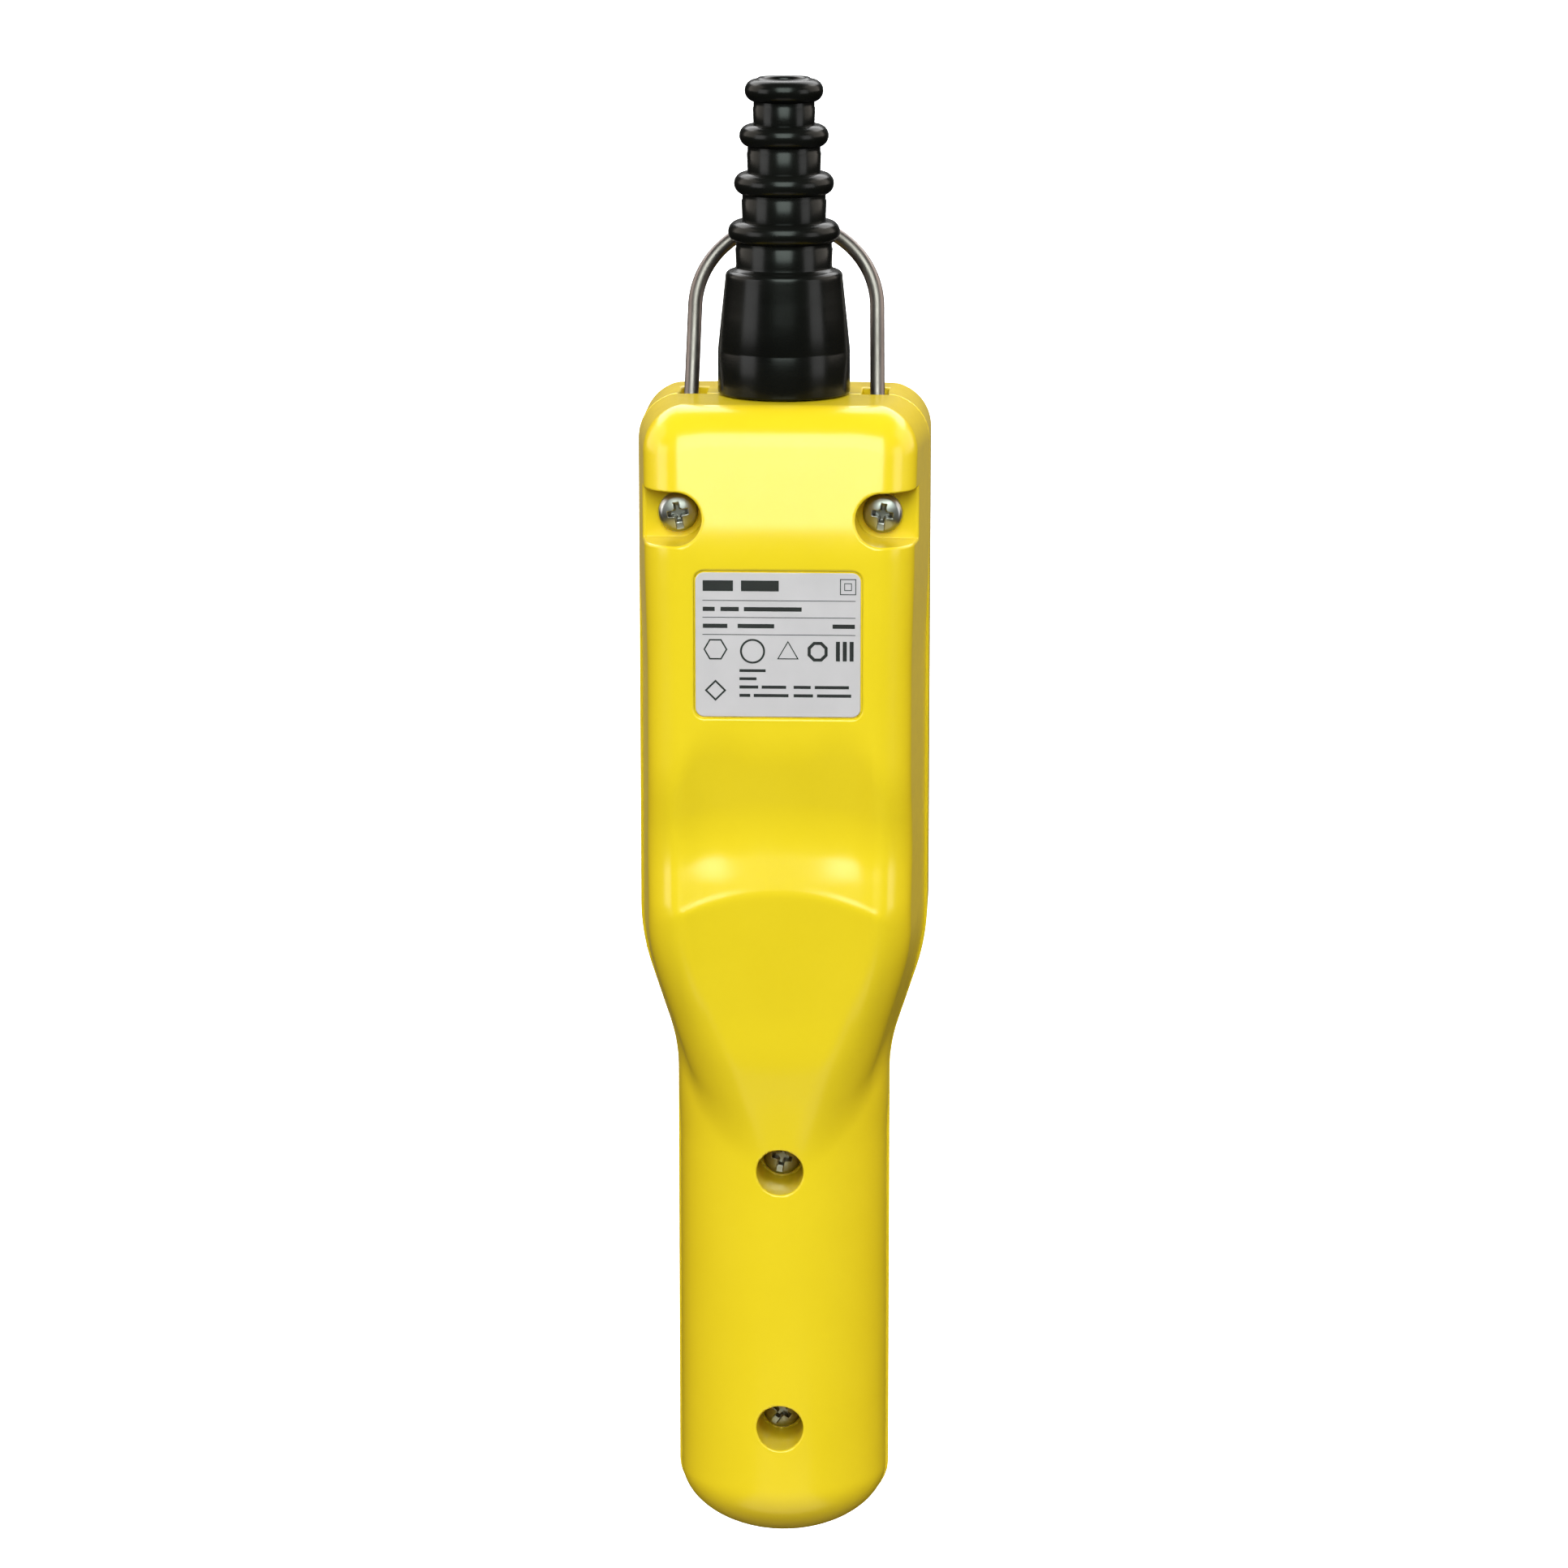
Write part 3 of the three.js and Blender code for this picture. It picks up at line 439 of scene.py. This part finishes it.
def tube(path, radius, sides, across):
    """Wire along a path that lies in the plane square to `across`, with closed ends."""
    path, across = np.array(path, float), np.array(across, float)
    along = np.gradient(path, axis=0)
    along /= np.linalg.norm(along, axis=1)[:, None]
    out = np.cross(across, along)
    turn = np.linspace(0, 2 * math.pi, sides, endpoint=False)
    points = []
    for p, o in zip(path, out):
        points += [p + radius * (math.cos(a) * o + math.sin(a) * across) for a in turn]
    faces = []
    for i in range(len(path) - 1):
        for k in range(sides):
            m = (k + 1) % sides
            faces.append((i * sides + k, i * sides + m, (i + 1) * sides + m, (i + 1) * sides + k))
    last = (len(path) - 1) * sides
    faces.append(tuple(range(sides))[::-1])
    faces.append(tuple(last + k for k in range(sides)))
    return points, faces


# ---- materials --------------------------------------------------------------------


class Nodes:
    """A node tree being written: new nodes by type, and links between sockets."""

    def __init__(self, name):
        self.material = bpy.data.materials.new(name)
        self.material.use_nodes = True
        self.tree = self.material.node_tree
        self.shader = self.tree.nodes["Principled BSDF"]
        self.place = self.new("ShaderNodeTexCoord").outputs["Object"]

    def new(self, kind, **values):
        node = self.tree.nodes.new(kind)
        for key, value in values.items():
            if hasattr(node, key):
                setattr(node, key, value)
            else:
                node.inputs[key].default_value = value
        return node

    def link(self, source, target):
        self.tree.links.new(source, target)

    def noise(self, scale, detail=4.0, roughness=0.55, stretch=None):
        node = self.new("ShaderNodeTexNoise")
        node.inputs["Scale"].default_value = scale
        node.inputs["Detail"].default_value = detail
        node.inputs["Roughness"].default_value = roughness
        at = self.place
        if stretch:
            mapping = self.new("ShaderNodeMapping")
            mapping.inputs["Scale"].default_value = stretch
            self.link(at, mapping.inputs["Vector"])
            at = mapping.outputs["Vector"]
        self.link(at, node.inputs["Vector"])
        return node.outputs["Fac"]

    def spread(self, factor, low, high, start=0.3, end=0.7):
        node = self.new("ShaderNodeMapRange")
        for key, value in (("From Min", start), ("From Max", end), ("To Min", low), ("To Max", high)):
            node.inputs[key].default_value = value
        self.link(factor, node.inputs["Value"])
        return node.outputs["Result"]

    def tint(self, factor, low, high):
        node = self.new("ShaderNodeMix", data_type="RGBA")
        node.inputs["A"].default_value = low
        node.inputs["B"].default_value = high
        for socket in node.inputs:
            if socket.name == "A" and socket.type == "RGBA":
                socket.default_value = low
            if socket.name == "B" and socket.type == "RGBA":
                socket.default_value = high
        self.link(factor, node.inputs["Factor"])
        return next(s for s in node.outputs if s.type == "RGBA")

    def bump(self, height, strength, distance):
        node = self.new("ShaderNodeBump")
        node.inputs["Strength"].default_value = strength
        node.inputs["Distance"].default_value = distance
        self.link(height, node.inputs["Height"])
        self.link(node.outputs["Normal"], self.shader.inputs["Normal"])


def moulded(name, low, high, rough, specular, grain=9000.0, strength=0.05, metallic=0.0, stretch=None):
    """Plastic, rubber or metal: mottled colour, uneven gloss and a fine raised grain."""
    n = Nodes(name)
    cloud = n.noise(60.0)
    n.link(n.tint(n.spread(cloud, 0, 1), low, high), n.shader.inputs["Base Color"])
    smear = n.noise(420.0, 6.0, stretch=stretch)
    n.link(n.spread(smear, rough[0], rough[1]), n.shader.inputs["Roughness"])
    n.shader.inputs["Specular IOR Level"].default_value = specular
    n.shader.inputs["Metallic"].default_value = metallic
    n.bump(n.noise(grain, 3.0, stretch=stretch), strength, 0.00002)
    return n.material


MATERIALS = {
    "yellow_plastic": moulded(
        "yellow_plastic", (0.71, 0.5, 0.013, 1), (0.73, 0.516, 0.015, 1), (0.2, 0.24), 0.4
    ),
    "black_rubber": moulded(
        "black_rubber", (0.003, 0.003, 0.0027, 1), (0.005, 0.005, 0.0044, 1), (0.2, 0.26), 0.16,
        stretch=(0.12, 0.12, 1),
    ),
    "white_rubber": moulded(
        "white_rubber", (0.42, 0.415, 0.39, 1), (0.45, 0.445, 0.42, 1), (0.45, 0.55), 0.4
    ),
    "white_plastic": moulded(
        "white_plastic", (0.42, 0.415, 0.4, 1), (0.45, 0.445, 0.43, 1), (0.35, 0.45), 0.4
    ),
    "black_plastic": moulded(
        "black_plastic", (0.009, 0.009, 0.009, 1), (0.013, 0.013, 0.013, 1), (0.35, 0.45), 0.4
    ),
    "grey_plastic": moulded(
        "grey_plastic", (0.08, 0.085, 0.09, 1), (0.1, 0.105, 0.11, 1), (0.35, 0.5), 0.4
    ),
    "steel": moulded(
        "steel", (0.3, 0.3, 0.29, 1), (0.42, 0.42, 0.4, 1), (0.28, 0.4), 0.5, metallic=1.0
    ),
    "steel_wire": moulded(
        "steel_wire", (0.135, 0.116, 0.11, 1), (0.21, 0.18, 0.17, 1), (0.36, 0.48), 0.5, metallic=1.0
    ),
    "silver_foil": moulded(
        "silver_foil", (0.56, 0.5, 0.535, 1), (0.62, 0.55, 0.59, 1), (0.34, 0.42), 0.5, metallic=0.25
    ),
    "brass": moulded(
        "brass", (0.4, 0.29, 0.11, 1), (0.48, 0.35, 0.14, 1), (0.25, 0.38), 0.5, metallic=1.0
    ),
}
PRINT_INK = moulded("print_ink", (0.012, 0.012, 0.012, 1), (0.02, 0.02, 0.02, 1), (0.45, 0.55), 0.3)
ARROW_BLACK = moulded("arrow_black", (0.01, 0.01, 0.01, 1), (0.016, 0.016, 0.016, 1), (0.4, 0.5), 0.3)
ARROW_WHITE = moulded("arrow_white", (0.42, 0.42, 0.4, 1), (0.46, 0.46, 0.44, 1), (0.4, 0.5), 0.3)

slot_of = {row["node"]: row["material_slot"] for row in frame["record"]["subparts"]}
for node, obj in frame["nodes"].items():
    obj.data.materials.clear()
    obj.data.materials.append(MATERIALS[slot_of[node]])


def finished(obj):
    return obj


# ---- enclosure --------------------------------------------------------------------

COARSE = 1.0


def shell_axes(ys):
    recess = (TOP_SCREW["z"] - 7.5, TOP_SCREW["z"] + 6.5, 0.35 * COARSE)
    plate_ends = [(PLATE["z"] + s * 12.8 - 1.2, PLATE["z"] + s * 12.8 + 1.2, 0.3 * COARSE) for s in (-1, 1)]
    wells = [(z - 5, z + 5, 0.35 * COARSE) for z in GRIP_SCREW_Z]
    edges = [(s * 14.4 - 1.2, s * 14.4 + 1.2, 0.3 * COARSE) for s in (-1, 1)]
    rims = [(s * 4.2 - 1.0, s * 4.2 + 1.0, 0.35 * COARSE) for s in (-1, 1)]
    xs = graded(-HEAD_HALF - 0.8, HEAD_HALF + 0.8, 0.55 * COARSE, *edges, *rims)
    zs = graded(-BODY_LENGTH - 0.8, 1.0, 0.65 * COARSE, recess, *plate_ends, *wells)
    return xs, ys, zs


rear_depths = graded(-0.4, HEAD_REAR + 0.8, 0.5 * COARSE, (24.2, 26, 0.2 * COARSE))
finished(
    net_piece(
        "rear_shell_finished", rear_shell, shell_axes(rear_depths),
        MATERIALS["yellow_plastic"], "enclosure", "rear_shell",
    ),
)
front_depths = graded(GUARD["front"] - 0.8, 0.4, 0.5 * COARSE)
finished(
    net_piece(
        "front_shell_finished", front_shell, shell_axes(front_depths),
        MATERIALS["yellow_plastic"], "enclosure", "front_shell",
    ),
)

# ---- cable sleeve -----------------------------------------------------------------


def sleeve_profile():
    seat, base = SLEEVE_SEAT_R, SLEEVE_BASE_R
    points = [(SLEEVE_BORE, -9), (base, -9), (base, -4.3), (seat, -4.3), (seat, 0.3)]
    points += arc((base - 0.4, 0.7), 0.4, -90, 0, 5)
    points += [(base, 4), (base, 7.8), (base - 0.05, 7.95), (base - 0.02, 8.1), (11.1, 14.2), (10.42, 20.6)]
    points += arc((9.3, 21.0), 1.1, 5, 85, 7)
    points += [(8.9, 22.25), (8.6, 22.55), (8.52, 23.1)]
    for i, (z, outer, below) in enumerate(RINGS):
        top = i == len(RINGS) - 1
        middle = outer - RING_MINOR
        above = 4.9 if top else RINGS[i + 1][2]
        start = math.degrees(math.acos((below - middle) / RING_MINOR))
        stop = math.degrees(math.acos(min(1, (above - middle) / RING_MINOR)))
        step = z - RING_MINOR * math.sin(math.radians(start))
        points += [(below + 0.12, step - 1.1), (below, step - 0.9), (below, step - 0.25)]
        points += arc((middle, z), RING_MINOR, -start, stop, 18)
    points += [(4.5, SLEEVE_TOP), (4.1, SLEEVE_TOP - 0.1)]
    points += arc((4.1, SLEEVE_TOP - 0.75), 0.65, 90, 180, 5)
    return points


points, faces = lathe(sleeve_profile(), 96)
finished(
    piece("sleeve_finished", points, faces, MATERIALS["black_rubber"], "enclosure", "cable_sleeve", sharp=35),
)

# ---- suspension bail --------------------------------------------------------------


def bail_path():
    straight = BAIL_REACH - BAIL_ARCH_R
    bend = (BAIL_LEG_X + BAIL_BEND, BAIL_BEND)
    right = [(BAIL_FOOT_X, 0), (20.4, 0), (19.6, 0)] + arc(bend, BAIL_BEND, 270, 180, 12)
    lean_in = (BAIL_LEG_X - BAIL_ARCH_R) / straight
    right += [(BAIL_LEG_X - lean_in * s, s) for s in np.linspace(4, straight - 1, 6)]
    arch = arc((0, straight), BAIL_ARCH_R, 0, 180, 61)
    left = [(-x, s) for x, s in right[::-1]]
    return [
        (x, -s * math.sin(BAIL_LEAN), BAIL_PIVOT_Z + s * math.cos(BAIL_LEAN))
        for x, s in right + arch + left
    ]


across_bail = (0, -math.cos(BAIL_LEAN), -math.sin(BAIL_LEAN))
points, faces = tube(bail_path(), WIRE_R, 28, across_bail)
finished(
    piece("bail_finished", points, faces, MATERIALS["steel_wire"], "bail", "suspension_bail", sharp=50),
)

# ---- casing screws ----------------------------------------------------------------


def pan_screw(seat, shank, turn):
    """Field of a cross-recessed pan-head screw that looks along +Y, centred on x = z = 0."""
    c, s = math.cos(math.radians(turn)), math.sin(math.radians(turn))

    def field(x, y, z):
        r, h = np.hypot(x, z), y - seat
        u, v = x * c + z * s, z * c - x * s
        head = rmax(r - SCREW_HEAD_R, h - SCREW_HEAD_H + 0.06 * r * r, 0.8)
        body = np.maximum(head, -h)
        deep = np.clip((SCREW_HEAD_H - h) / 1.5, 0, 1)
        arms = np.minimum(
            np.maximum(np.abs(u) - 0.5 + 0.2 * deep, np.abs(v) - 1.95 + 0.7 * deep),
            np.maximum(np.abs(v) - 0.5 + 0.2 * deep, np.abs(u) - 1.95 + 0.7 * deep),
        )
        arms = np.minimum(arms, r - 0.95 + 0.3 * deep)
        body = rmax(body, -np.maximum(arms, SCREW_HEAD_H - 1.5 - h), 0.12)
        slit = np.maximum(np.abs(u) - 0.62, np.maximum(v, -v - 4))
        body = rmax(body, -np.maximum(slit, SCREW_HEAD_H - 0.6 - h), 0.1)
        return np.minimum(body, rod(x, z, 1.75, h, -shank, 0.5))

    return field


def screw(name, x, z, seat, shank, turn):
    field = pan_screw(seat, shank, turn)
    side = np.arange(-3.9, 3.91, 0.16 * COARSE)
    along = graded(seat - shank - 0.6, seat + SCREW_HEAD_H + 0.4, 0.8, (seat - 0.4, seat + 3, 0.16 * COARSE))
    points, faces, normals = surface_net(field, side, along, side)
    obj = piece(
        f"{name}_finished", points + (x, 0, z), faces, MATERIALS["steel"], "enclosure", name, normals=normals
    )
    finished(obj)


for side, word, turn in ((1, "right", -10), (-1, "left", 8)):
    x, z, seat = side * TOP_SCREW["x"], TOP_SCREW["z"], TOP_SCREW["floor"] + 0.1
    screw(f"casing_screw_top_{word}", x, z, seat, 20, turn)
for word, z, turn in (("upper", GRIP_SCREW_Z[0], 12), ("lower", GRIP_SCREW_Z[1], 35)):
    screw(f"casing_screw_grip_{word}", 0, z, GRIP_WELL["floor"] + 0.1, 17, turn)

# ---- rating plate -----------------------------------------------------------------


def prism(outline, y0, y1, chamfer=0.0):
    """Slab between two depths from an outline [(x, z)] that runs counter-clockwise seen from -Y."""
    outline = np.array(outline, float)
    n = len(outline)
    centre = outline.mean(0)
    reach = np.abs(outline - centre).max(0)
    inner = centre + (outline - centre) * (1 - chamfer / reach)
    loops = [(outline, y0), (outline, y1 - math.copysign(chamfer, y1 - y0)), (inner, y1)]
    if not chamfer:
        loops = [loops[0], (outline, y1)]
    points = [(x, y, z) for loop, y in loops for x, z in loop]
    last = (len(loops) - 1) * n
    faces = [tuple(range(n)), tuple(last + k for k in range(n))[::-1]]
    for i in range(len(loops) - 1):
        for k in range(n):
            m = (k + 1) % n
            faces.append((i * n + k, (i + 1) * n + k, (i + 1) * n + m, i * n + m))
    if y1 < y0:
        faces = [f[::-1] for f in faces]
    return points, faces


def rounded(x0, x1, z0, z1, r, count=7):
    corners = ((x1 - r, z1 - r, 0), (x0 + r, z1 - r, 90), (x0 + r, z0 + r, 180), (x1 - r, z0 + r, 270))
    return [p for x, z, a in corners for p in arc((x, z), r, a, a + 90, count)]


def gather(parts):
    points, faces = [], []
    for more, quads in parts:
        faces += [tuple(i + len(points) for i in f) for f in quads]
        points += [tuple(p) for p in more]
    return points, faces


plate_face = PLATE["back"] + PLATE["thick"]
half_w, half_h = PLATE["w"] / 2, PLATE["h"] / 2
outline = rounded(-half_w, half_w, PLATE["z"] - half_h, PLATE["z"] + half_h, PLATE["corner"])
points, faces = prism(outline, PLATE["back"], plate_face, 0.1)
finished(
    piece(
        "rating_plate_finished", points, faces,
        MATERIALS["silver_foil"], "enclosure", "rating_plate", sharp=30,
    ),
)

INK_LOW, INK_HIGH = plate_face - 0.02, plate_face + 0.025


def ink(outline):
    """A flat printed shape; (u, v) run right and down from the plate's top left corner."""
    turned = [(half_w - u, PLATE["z"] + half_h - v) for u, v in outline]
    return prism(turned, INK_LOW, INK_HIGH)


def bar(u0, u1, v0, v1):
    return ink([(u0, v0), (u1, v0), (u1, v1), (u0, v1)])


def ring(u, v, r, width, sides, start=0):
    """A closed band: a ring, or with few sides a hollow triangle, square or hexagon."""
    parts = []
    for k in range(sides):
        a, b = (math.radians(start + 360 * (k + d) / sides) for d in (0, 1))
        quad = [(r, a), (r, b), (r - width, b), (r - width, a)]
        parts.append(ink([(u + q * math.cos(t), v + q * math.sin(t)) for q, t in quad]))
    return gather(parts)


def words(v, height, *spans):
    return [bar(u0, u1, v, v + height) for u0, u1 in spans]


def plate_print():
    parts = words(1.35, 1.9, (1.3, 6.6), (8.0, 14.6))
    parts += [ring(26.7, 2.4, 2.0, 0.22, 4, 45), ring(26.7, 2.4, 0.95, 0.2, 4, 45)]
    parts += [bar(1.25, 28.0, v, v + 0.12) for v in (4.85, 7.85, 10.9)]
    parts += words(6.05, 0.75, (1.3, 3.4), (4.4, 7.6), (8.5, 18.6))
    parts += words(9.05, 0.75, (1.3, 5.6), (7.4, 13.8), (24.0, 27.9))
    parts += [ring(3.5, 13.6, 2.1, 0.3, 6), ring(10.0, 13.9, 2.2, 0.35, 40)]
    parts += [ring(16.2, 14.2, 2.2, 0.35, 3, -90), ring(21.4, 13.9, 1.9, 0.6, 8, 22.5)]
    parts += [bar(24.6 + 1.2 * k, 25.3 + 1.2 * k, 12.1, 15.6) for k in range(3)]
    parts += words(17.1, 0.5, (7.7, 12.3)) + words(18.55, 0.5, (7.7, 10.7))
    parts += words(20.0, 0.55, (7.7, 11.0), (11.6, 15.9), (17.2, 20.2), (20.9, 26.9))
    parts += words(21.5, 0.55, (7.7, 9.6), (10.2, 16.3), (17.2, 20.6), (21.3, 27.3))
    parts += [ring(3.5, 20.9, 1.9, 0.45, 4, 0)]
    return gather(parts)


points, faces = plate_print()
piece("rating_plate_print", points, faces, PRINT_INK, "enclosure", sharp=20)

# ---- push-buttons -----------------------------------------------------------------


def arrow_outline(way, z):
    """Arrow with its point towards `way` (1 up, -1 down), counter-clockwise seen from -Y."""
    half = [(0, 5.2), (-4.1, 0.7), (-1.6, 0.7), (-1.6, -4.6)]
    shape = half + [(-x, h) for x, h in half[:0:-1]]
    if way < 0:
        shape = [(-x, -h) for x, h in shape]
    return [(x, z + h) for x, h in shape][::-1]


def button_cap(way, zc):
    def field(x, y, z):
        ax, up = np.abs(x), (z - zc) * way
        r = np.hypot(x, z - zc)
        face = CAP["front"] + 0.3 * (r / CAP["r"]) ** 2
        body = rmax(rmax(r - CAP["r"], face - y, 1.3), y - CAP["back"], 0.3)
        slope = math.hypot(4.1, 4.5)
        head = np.maximum((4.5 * ax + 4.1 * (up - 5.2)) / slope, 0.7 - up)
        shaft = np.maximum(ax - 1.6, np.maximum(up - 0.8, -4.6 - up))
        arrow = np.minimum(head, shaft) - 0.12
        body = rmax(body, -np.maximum(arrow, y - CAP["front"] - 0.75), 0.12)
        return np.maximum(body, -rod(x, z - zc, 3.6, y, CAP["back"] - 2.2, CAP["back"] + 1))

    return field


def rounded_ring(inner, outer, front, back, r):
    """Turned ring [(radius, y)] with both front edges rounded."""
    profile = [(inner, back)] + arc((inner + r, front + r), r, 180, 270, 6)
    profile += arc((outer - r, front + r), r, 270, 360, 6) + [(outer, back)]
    return profile[::-1]


def boot_profile():
    profile = [(9.45, -24.5)] + arc((9.95, -26.9), 0.5, 180, 315, 7)
    profile += arc((10.6, -27.5), 0.45, 160, 380, 9)
    return (profile + [(11.0, -24.5)])[::-1]


def coil(radius, wire, turns, y0, y1, z):
    """Closed coil spring round the axis x = 0, with flat last turns left plain."""
    count, sides = 24 * turns, 8
    t = np.linspace(0, turns * 2 * math.pi, count + 1)
    out = np.stack([np.cos(t), 0 * t, np.sin(t)], 1)
    centre = out * radius
    centre[:, 1] = np.linspace(y0 + wire, y1 - wire, count + 1)
    points, turn = [], np.linspace(0, 2 * math.pi, sides, endpoint=False)
    for c, o in zip(centre, out):
        points += [c + wire * (math.cos(a) * o + math.sin(a) * np.array([0, 1, 0])) for a in turn]
    faces = [tuple(range(sides)), tuple(count * sides + k for k in range(sides))[::-1]]
    for i in range(count):
        for k in range(sides):
            m = (k + 1) % sides
            faces.append((i * sides + k, (i + 1) * sides + k, (i + 1) * sides + m, i * sides + m))
    return np.array(points) + (0, 0, z), faces


def press_fold(obj):
    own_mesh(obj)


for button, zc in BUTTONS.items():
    way = 1 if button == "raise" else -1
    rubber = "white_rubber" if button == "raise" else "black_rubber"
    paint = ARROW_BLACK if button == "raise" else ARROW_WHITE
    side = np.arange(-9.6, 9.61, 0.28 * COARSE)
    axes = (side, graded(CAP["front"] - 0.4, CAP["back"] + 0.5, 0.2 * COARSE), side + zc)
    cap = net_piece(
        f"{button}_cap_finished", button_cap(way, zc), axes,
        MATERIALS[rubber], f"{button}_button", f"{button}_button_cap",
    )
    finished(cap)
    points, faces = prism(arrow_outline(way, zc), CAP["front"] + 0.74, CAP["front"] + 0.45)
    piece(f"{button}_arrow", points, faces, paint, f"{button}_button", sharp=30)

    points, faces = lathe(boot_profile(), 72, "y", (0, 0, zc))
    boot = piece(
        f"{button}_boot_finished", points, faces, MATERIALS[rubber], "enclosure", f"{button}_boot", sharp=60
    )
    press_fold(finished(boot))

    points, faces = lathe(rounded_ring(11.4, 14.2, -26.5, -24.5, 0.5), 96, "y", (0, 0, zc))
    bezel = piece(
        f"{button}_bezel_finished", points, faces,
        MATERIALS["black_plastic"], "enclosure", f"{button}_bezel_ring", sharp=50,
    )
    finished(bezel)

    points, faces = coil(6.4, 0.4, 4, -25.8, -17, zc)
    spring = piece(
        f"{button}_spring_finished", points, faces,
        MATERIALS["steel"], "enclosure", f"{button}_return_spring", sharp=60,
    )
    press_fold(finished(spring))

# ---- camera, lights and floor -----------------------------------------------------

AIM = Vector(place((0, 0, -71)))
AZIMUTH, ELEVATION, DISTANCE = math.radians(182.4), math.radians(12), 1.0


def direction(azimuth, elevation):
    return Vector((
        math.sin(azimuth) * math.cos(elevation),
        -math.cos(azimuth) * math.cos(elevation),
        math.sin(elevation),
    ))


camera = bpy.data.objects.new("camera", bpy.data.cameras.new("camera"))
camera.data.sensor_width = 36
camera.data.lens = 127.2
camera.data.clip_start = 0.05
back = direction(AZIMUTH, ELEVATION)
camera.location = AIM + back * DISTANCE
camera.rotation_euler = (-back).to_track_quat("-Z", "Y").to_euler()
bpy.context.scene.collection.objects.link(camera)
bpy.context.scene.camera = camera


def softbox(name, azimuth, elevation, distance, width, height, radiance, tint=(1, 1, 1)):
    light = bpy.data.lights.new(name, "AREA")
    light.shape = "RECTANGLE"
    light.size, light.size_y = width, height
    light.energy = radiance * math.pi * width * height
    light.color = tint
    obj = bpy.data.objects.new(name, light)
    away = direction(math.radians(azimuth), math.radians(elevation))
    obj.location = AIM + away * distance
    obj.rotation_euler = (-away).to_track_quat("-Z", "Y").to_euler()
    bpy.context.scene.collection.objects.link(obj)


COOL, WARM = (0.86, 1.0, 0.93), (1.0, 0.92, 0.82)
BEHIND = 182  # azimuth that faces the back of the station; the lights are placed from it
LIGHT_AWAY = 1.8
softbox("key", BEHIND, 34, LIGHT_AWAY, 1.2, 1.38, 9.2, COOL)
softbox("left", BEHIND - 65, 12, LIGHT_AWAY, 0.95, 1.0, 3.7)
softbox("right", BEHIND + 62, 11, LIGHT_AWAY, 0.8, 1.0, 3.2)
softbox("left_panel", BEHIND - 105, 28, LIGHT_AWAY, 1.5, 1.5, 1.9, WARM)
softbox("right_panel", BEHIND + 105, 28, LIGHT_AWAY, 1.5, 1.5, 2.1, WARM)
softbox("bounce_card", BEHIND, -62, 0.3, 0.25, 0.25, 0.9, WARM)
bpy.data.objects["bounce_card"].visible_camera = False


def studio_world(dim, far, overhead, bounce):
    """Dim studio: a far wall, a ceiling that brightens to the far side, light off the floor."""
    world = bpy.data.worlds.new("studio")
    world.use_nodes = True
    tree = world.node_tree
    towards = tree.nodes.new("ShaderNodeTexCoord")
    split = tree.nodes.new("ShaderNodeSeparateXYZ")
    tree.links.new(towards.outputs["Generated"], split.inputs["Vector"])

    def fade(axis, start, end, low, high):
        node = tree.nodes.new("ShaderNodeMapRange")
        node.interpolation_type = "SMOOTHSTEP"
        for key, value in (("From Min", start), ("From Max", end), ("To Min", low), ("To Max", high)):
            node.inputs[key].default_value = value
        tree.links.new(split.outputs[axis], node.inputs["Value"])
        return node.outputs["Result"]

    def combine(operation, a, b):
        node = tree.nodes.new("ShaderNodeMath")
        node.operation = operation
        tree.links.new(a, node.inputs[0])
        tree.links.new(b, node.inputs[1])
        return node.outputs["Value"]

    wall = combine("MULTIPLY", fade("Y", -0.88, -0.97, 0, far), fade("Z", -0.35, -0.15, 0, 1))
    ceiling = combine("MULTIPLY", fade("Z", 0.3, 0.8, 0, overhead), fade("Y", 0, -0.6, 0.12, 1))
    glow = combine("ADD", combine("ADD", wall, ceiling), fade("Z", -0.5, -0.9, dim, bounce))
    background = tree.nodes["Background"]
    background.inputs["Color"].default_value = (1, 1, 1, 1)
    tree.links.new(glow, background.inputs["Strength"])
    return world


world = studio_world(0.0125, 0.15, 0.13, 0.08)
bpy.context.scene.world = world
bpy.context.scene.view_settings.view_transform = "Standard"

wash = bpy.data.lights.new("floor_wash", "AREA")
wash.shape = "RECTANGLE"
wash.size, wash.size_y = 6, 4
wash.energy = 330
wash_obj = bpy.data.objects.new("floor_wash", wash)
wash_obj.location = AIM + Vector((0, -3.2, 2.4))
bpy.context.scene.collection.objects.link(wash_obj)


def backdrop(name, mesh, glow):
    """A pale surface round the object, which adds no light or reflection of its own to it."""
    material = moulded(name, (0.84, 0.84, 0.84, 1), (0.88, 0.88, 0.88, 1), (0.8, 0.9), 0.1)
    shader = material.node_tree.nodes["Principled BSDF"]
    shader.inputs["Emission Color"].default_value = (1, 1, 1, 1)
    shader.inputs["Emission Strength"].default_value = glow
    mesh.materials.append(material)
    obj = bpy.data.objects.new(name, mesh)
    obj.visible_glossy = False
    obj.visible_diffuse = False
    bpy.context.scene.collection.objects.link(obj)
    return obj


FLOOR_DROP = 0.12
ROOM_RADIUS = 9.0
floor_mesh = bpy.data.meshes.new("floor")
reach, level = ROOM_RADIUS, cad_box[0][2] - FLOOR_DROP
corners = [(x, y, level) for x, y in ((-reach, -reach), (reach, -reach), (reach, reach), (-reach, reach))]
floor_mesh.from_pydata(corners, [], [(0, 1, 2, 3)])
backdrop("floor", floor_mesh, 0.6)

room_mesh = bpy.data.meshes.new("room")
room_bm = bmesh.new()
bmesh.ops.create_uvsphere(room_bm, u_segments=48, v_segments=24, radius=ROOM_RADIUS)
room_bm.to_mesh(room_mesh)
room_bm.free()
backdrop("room", room_mesh, 0.9).visible_shadow = False
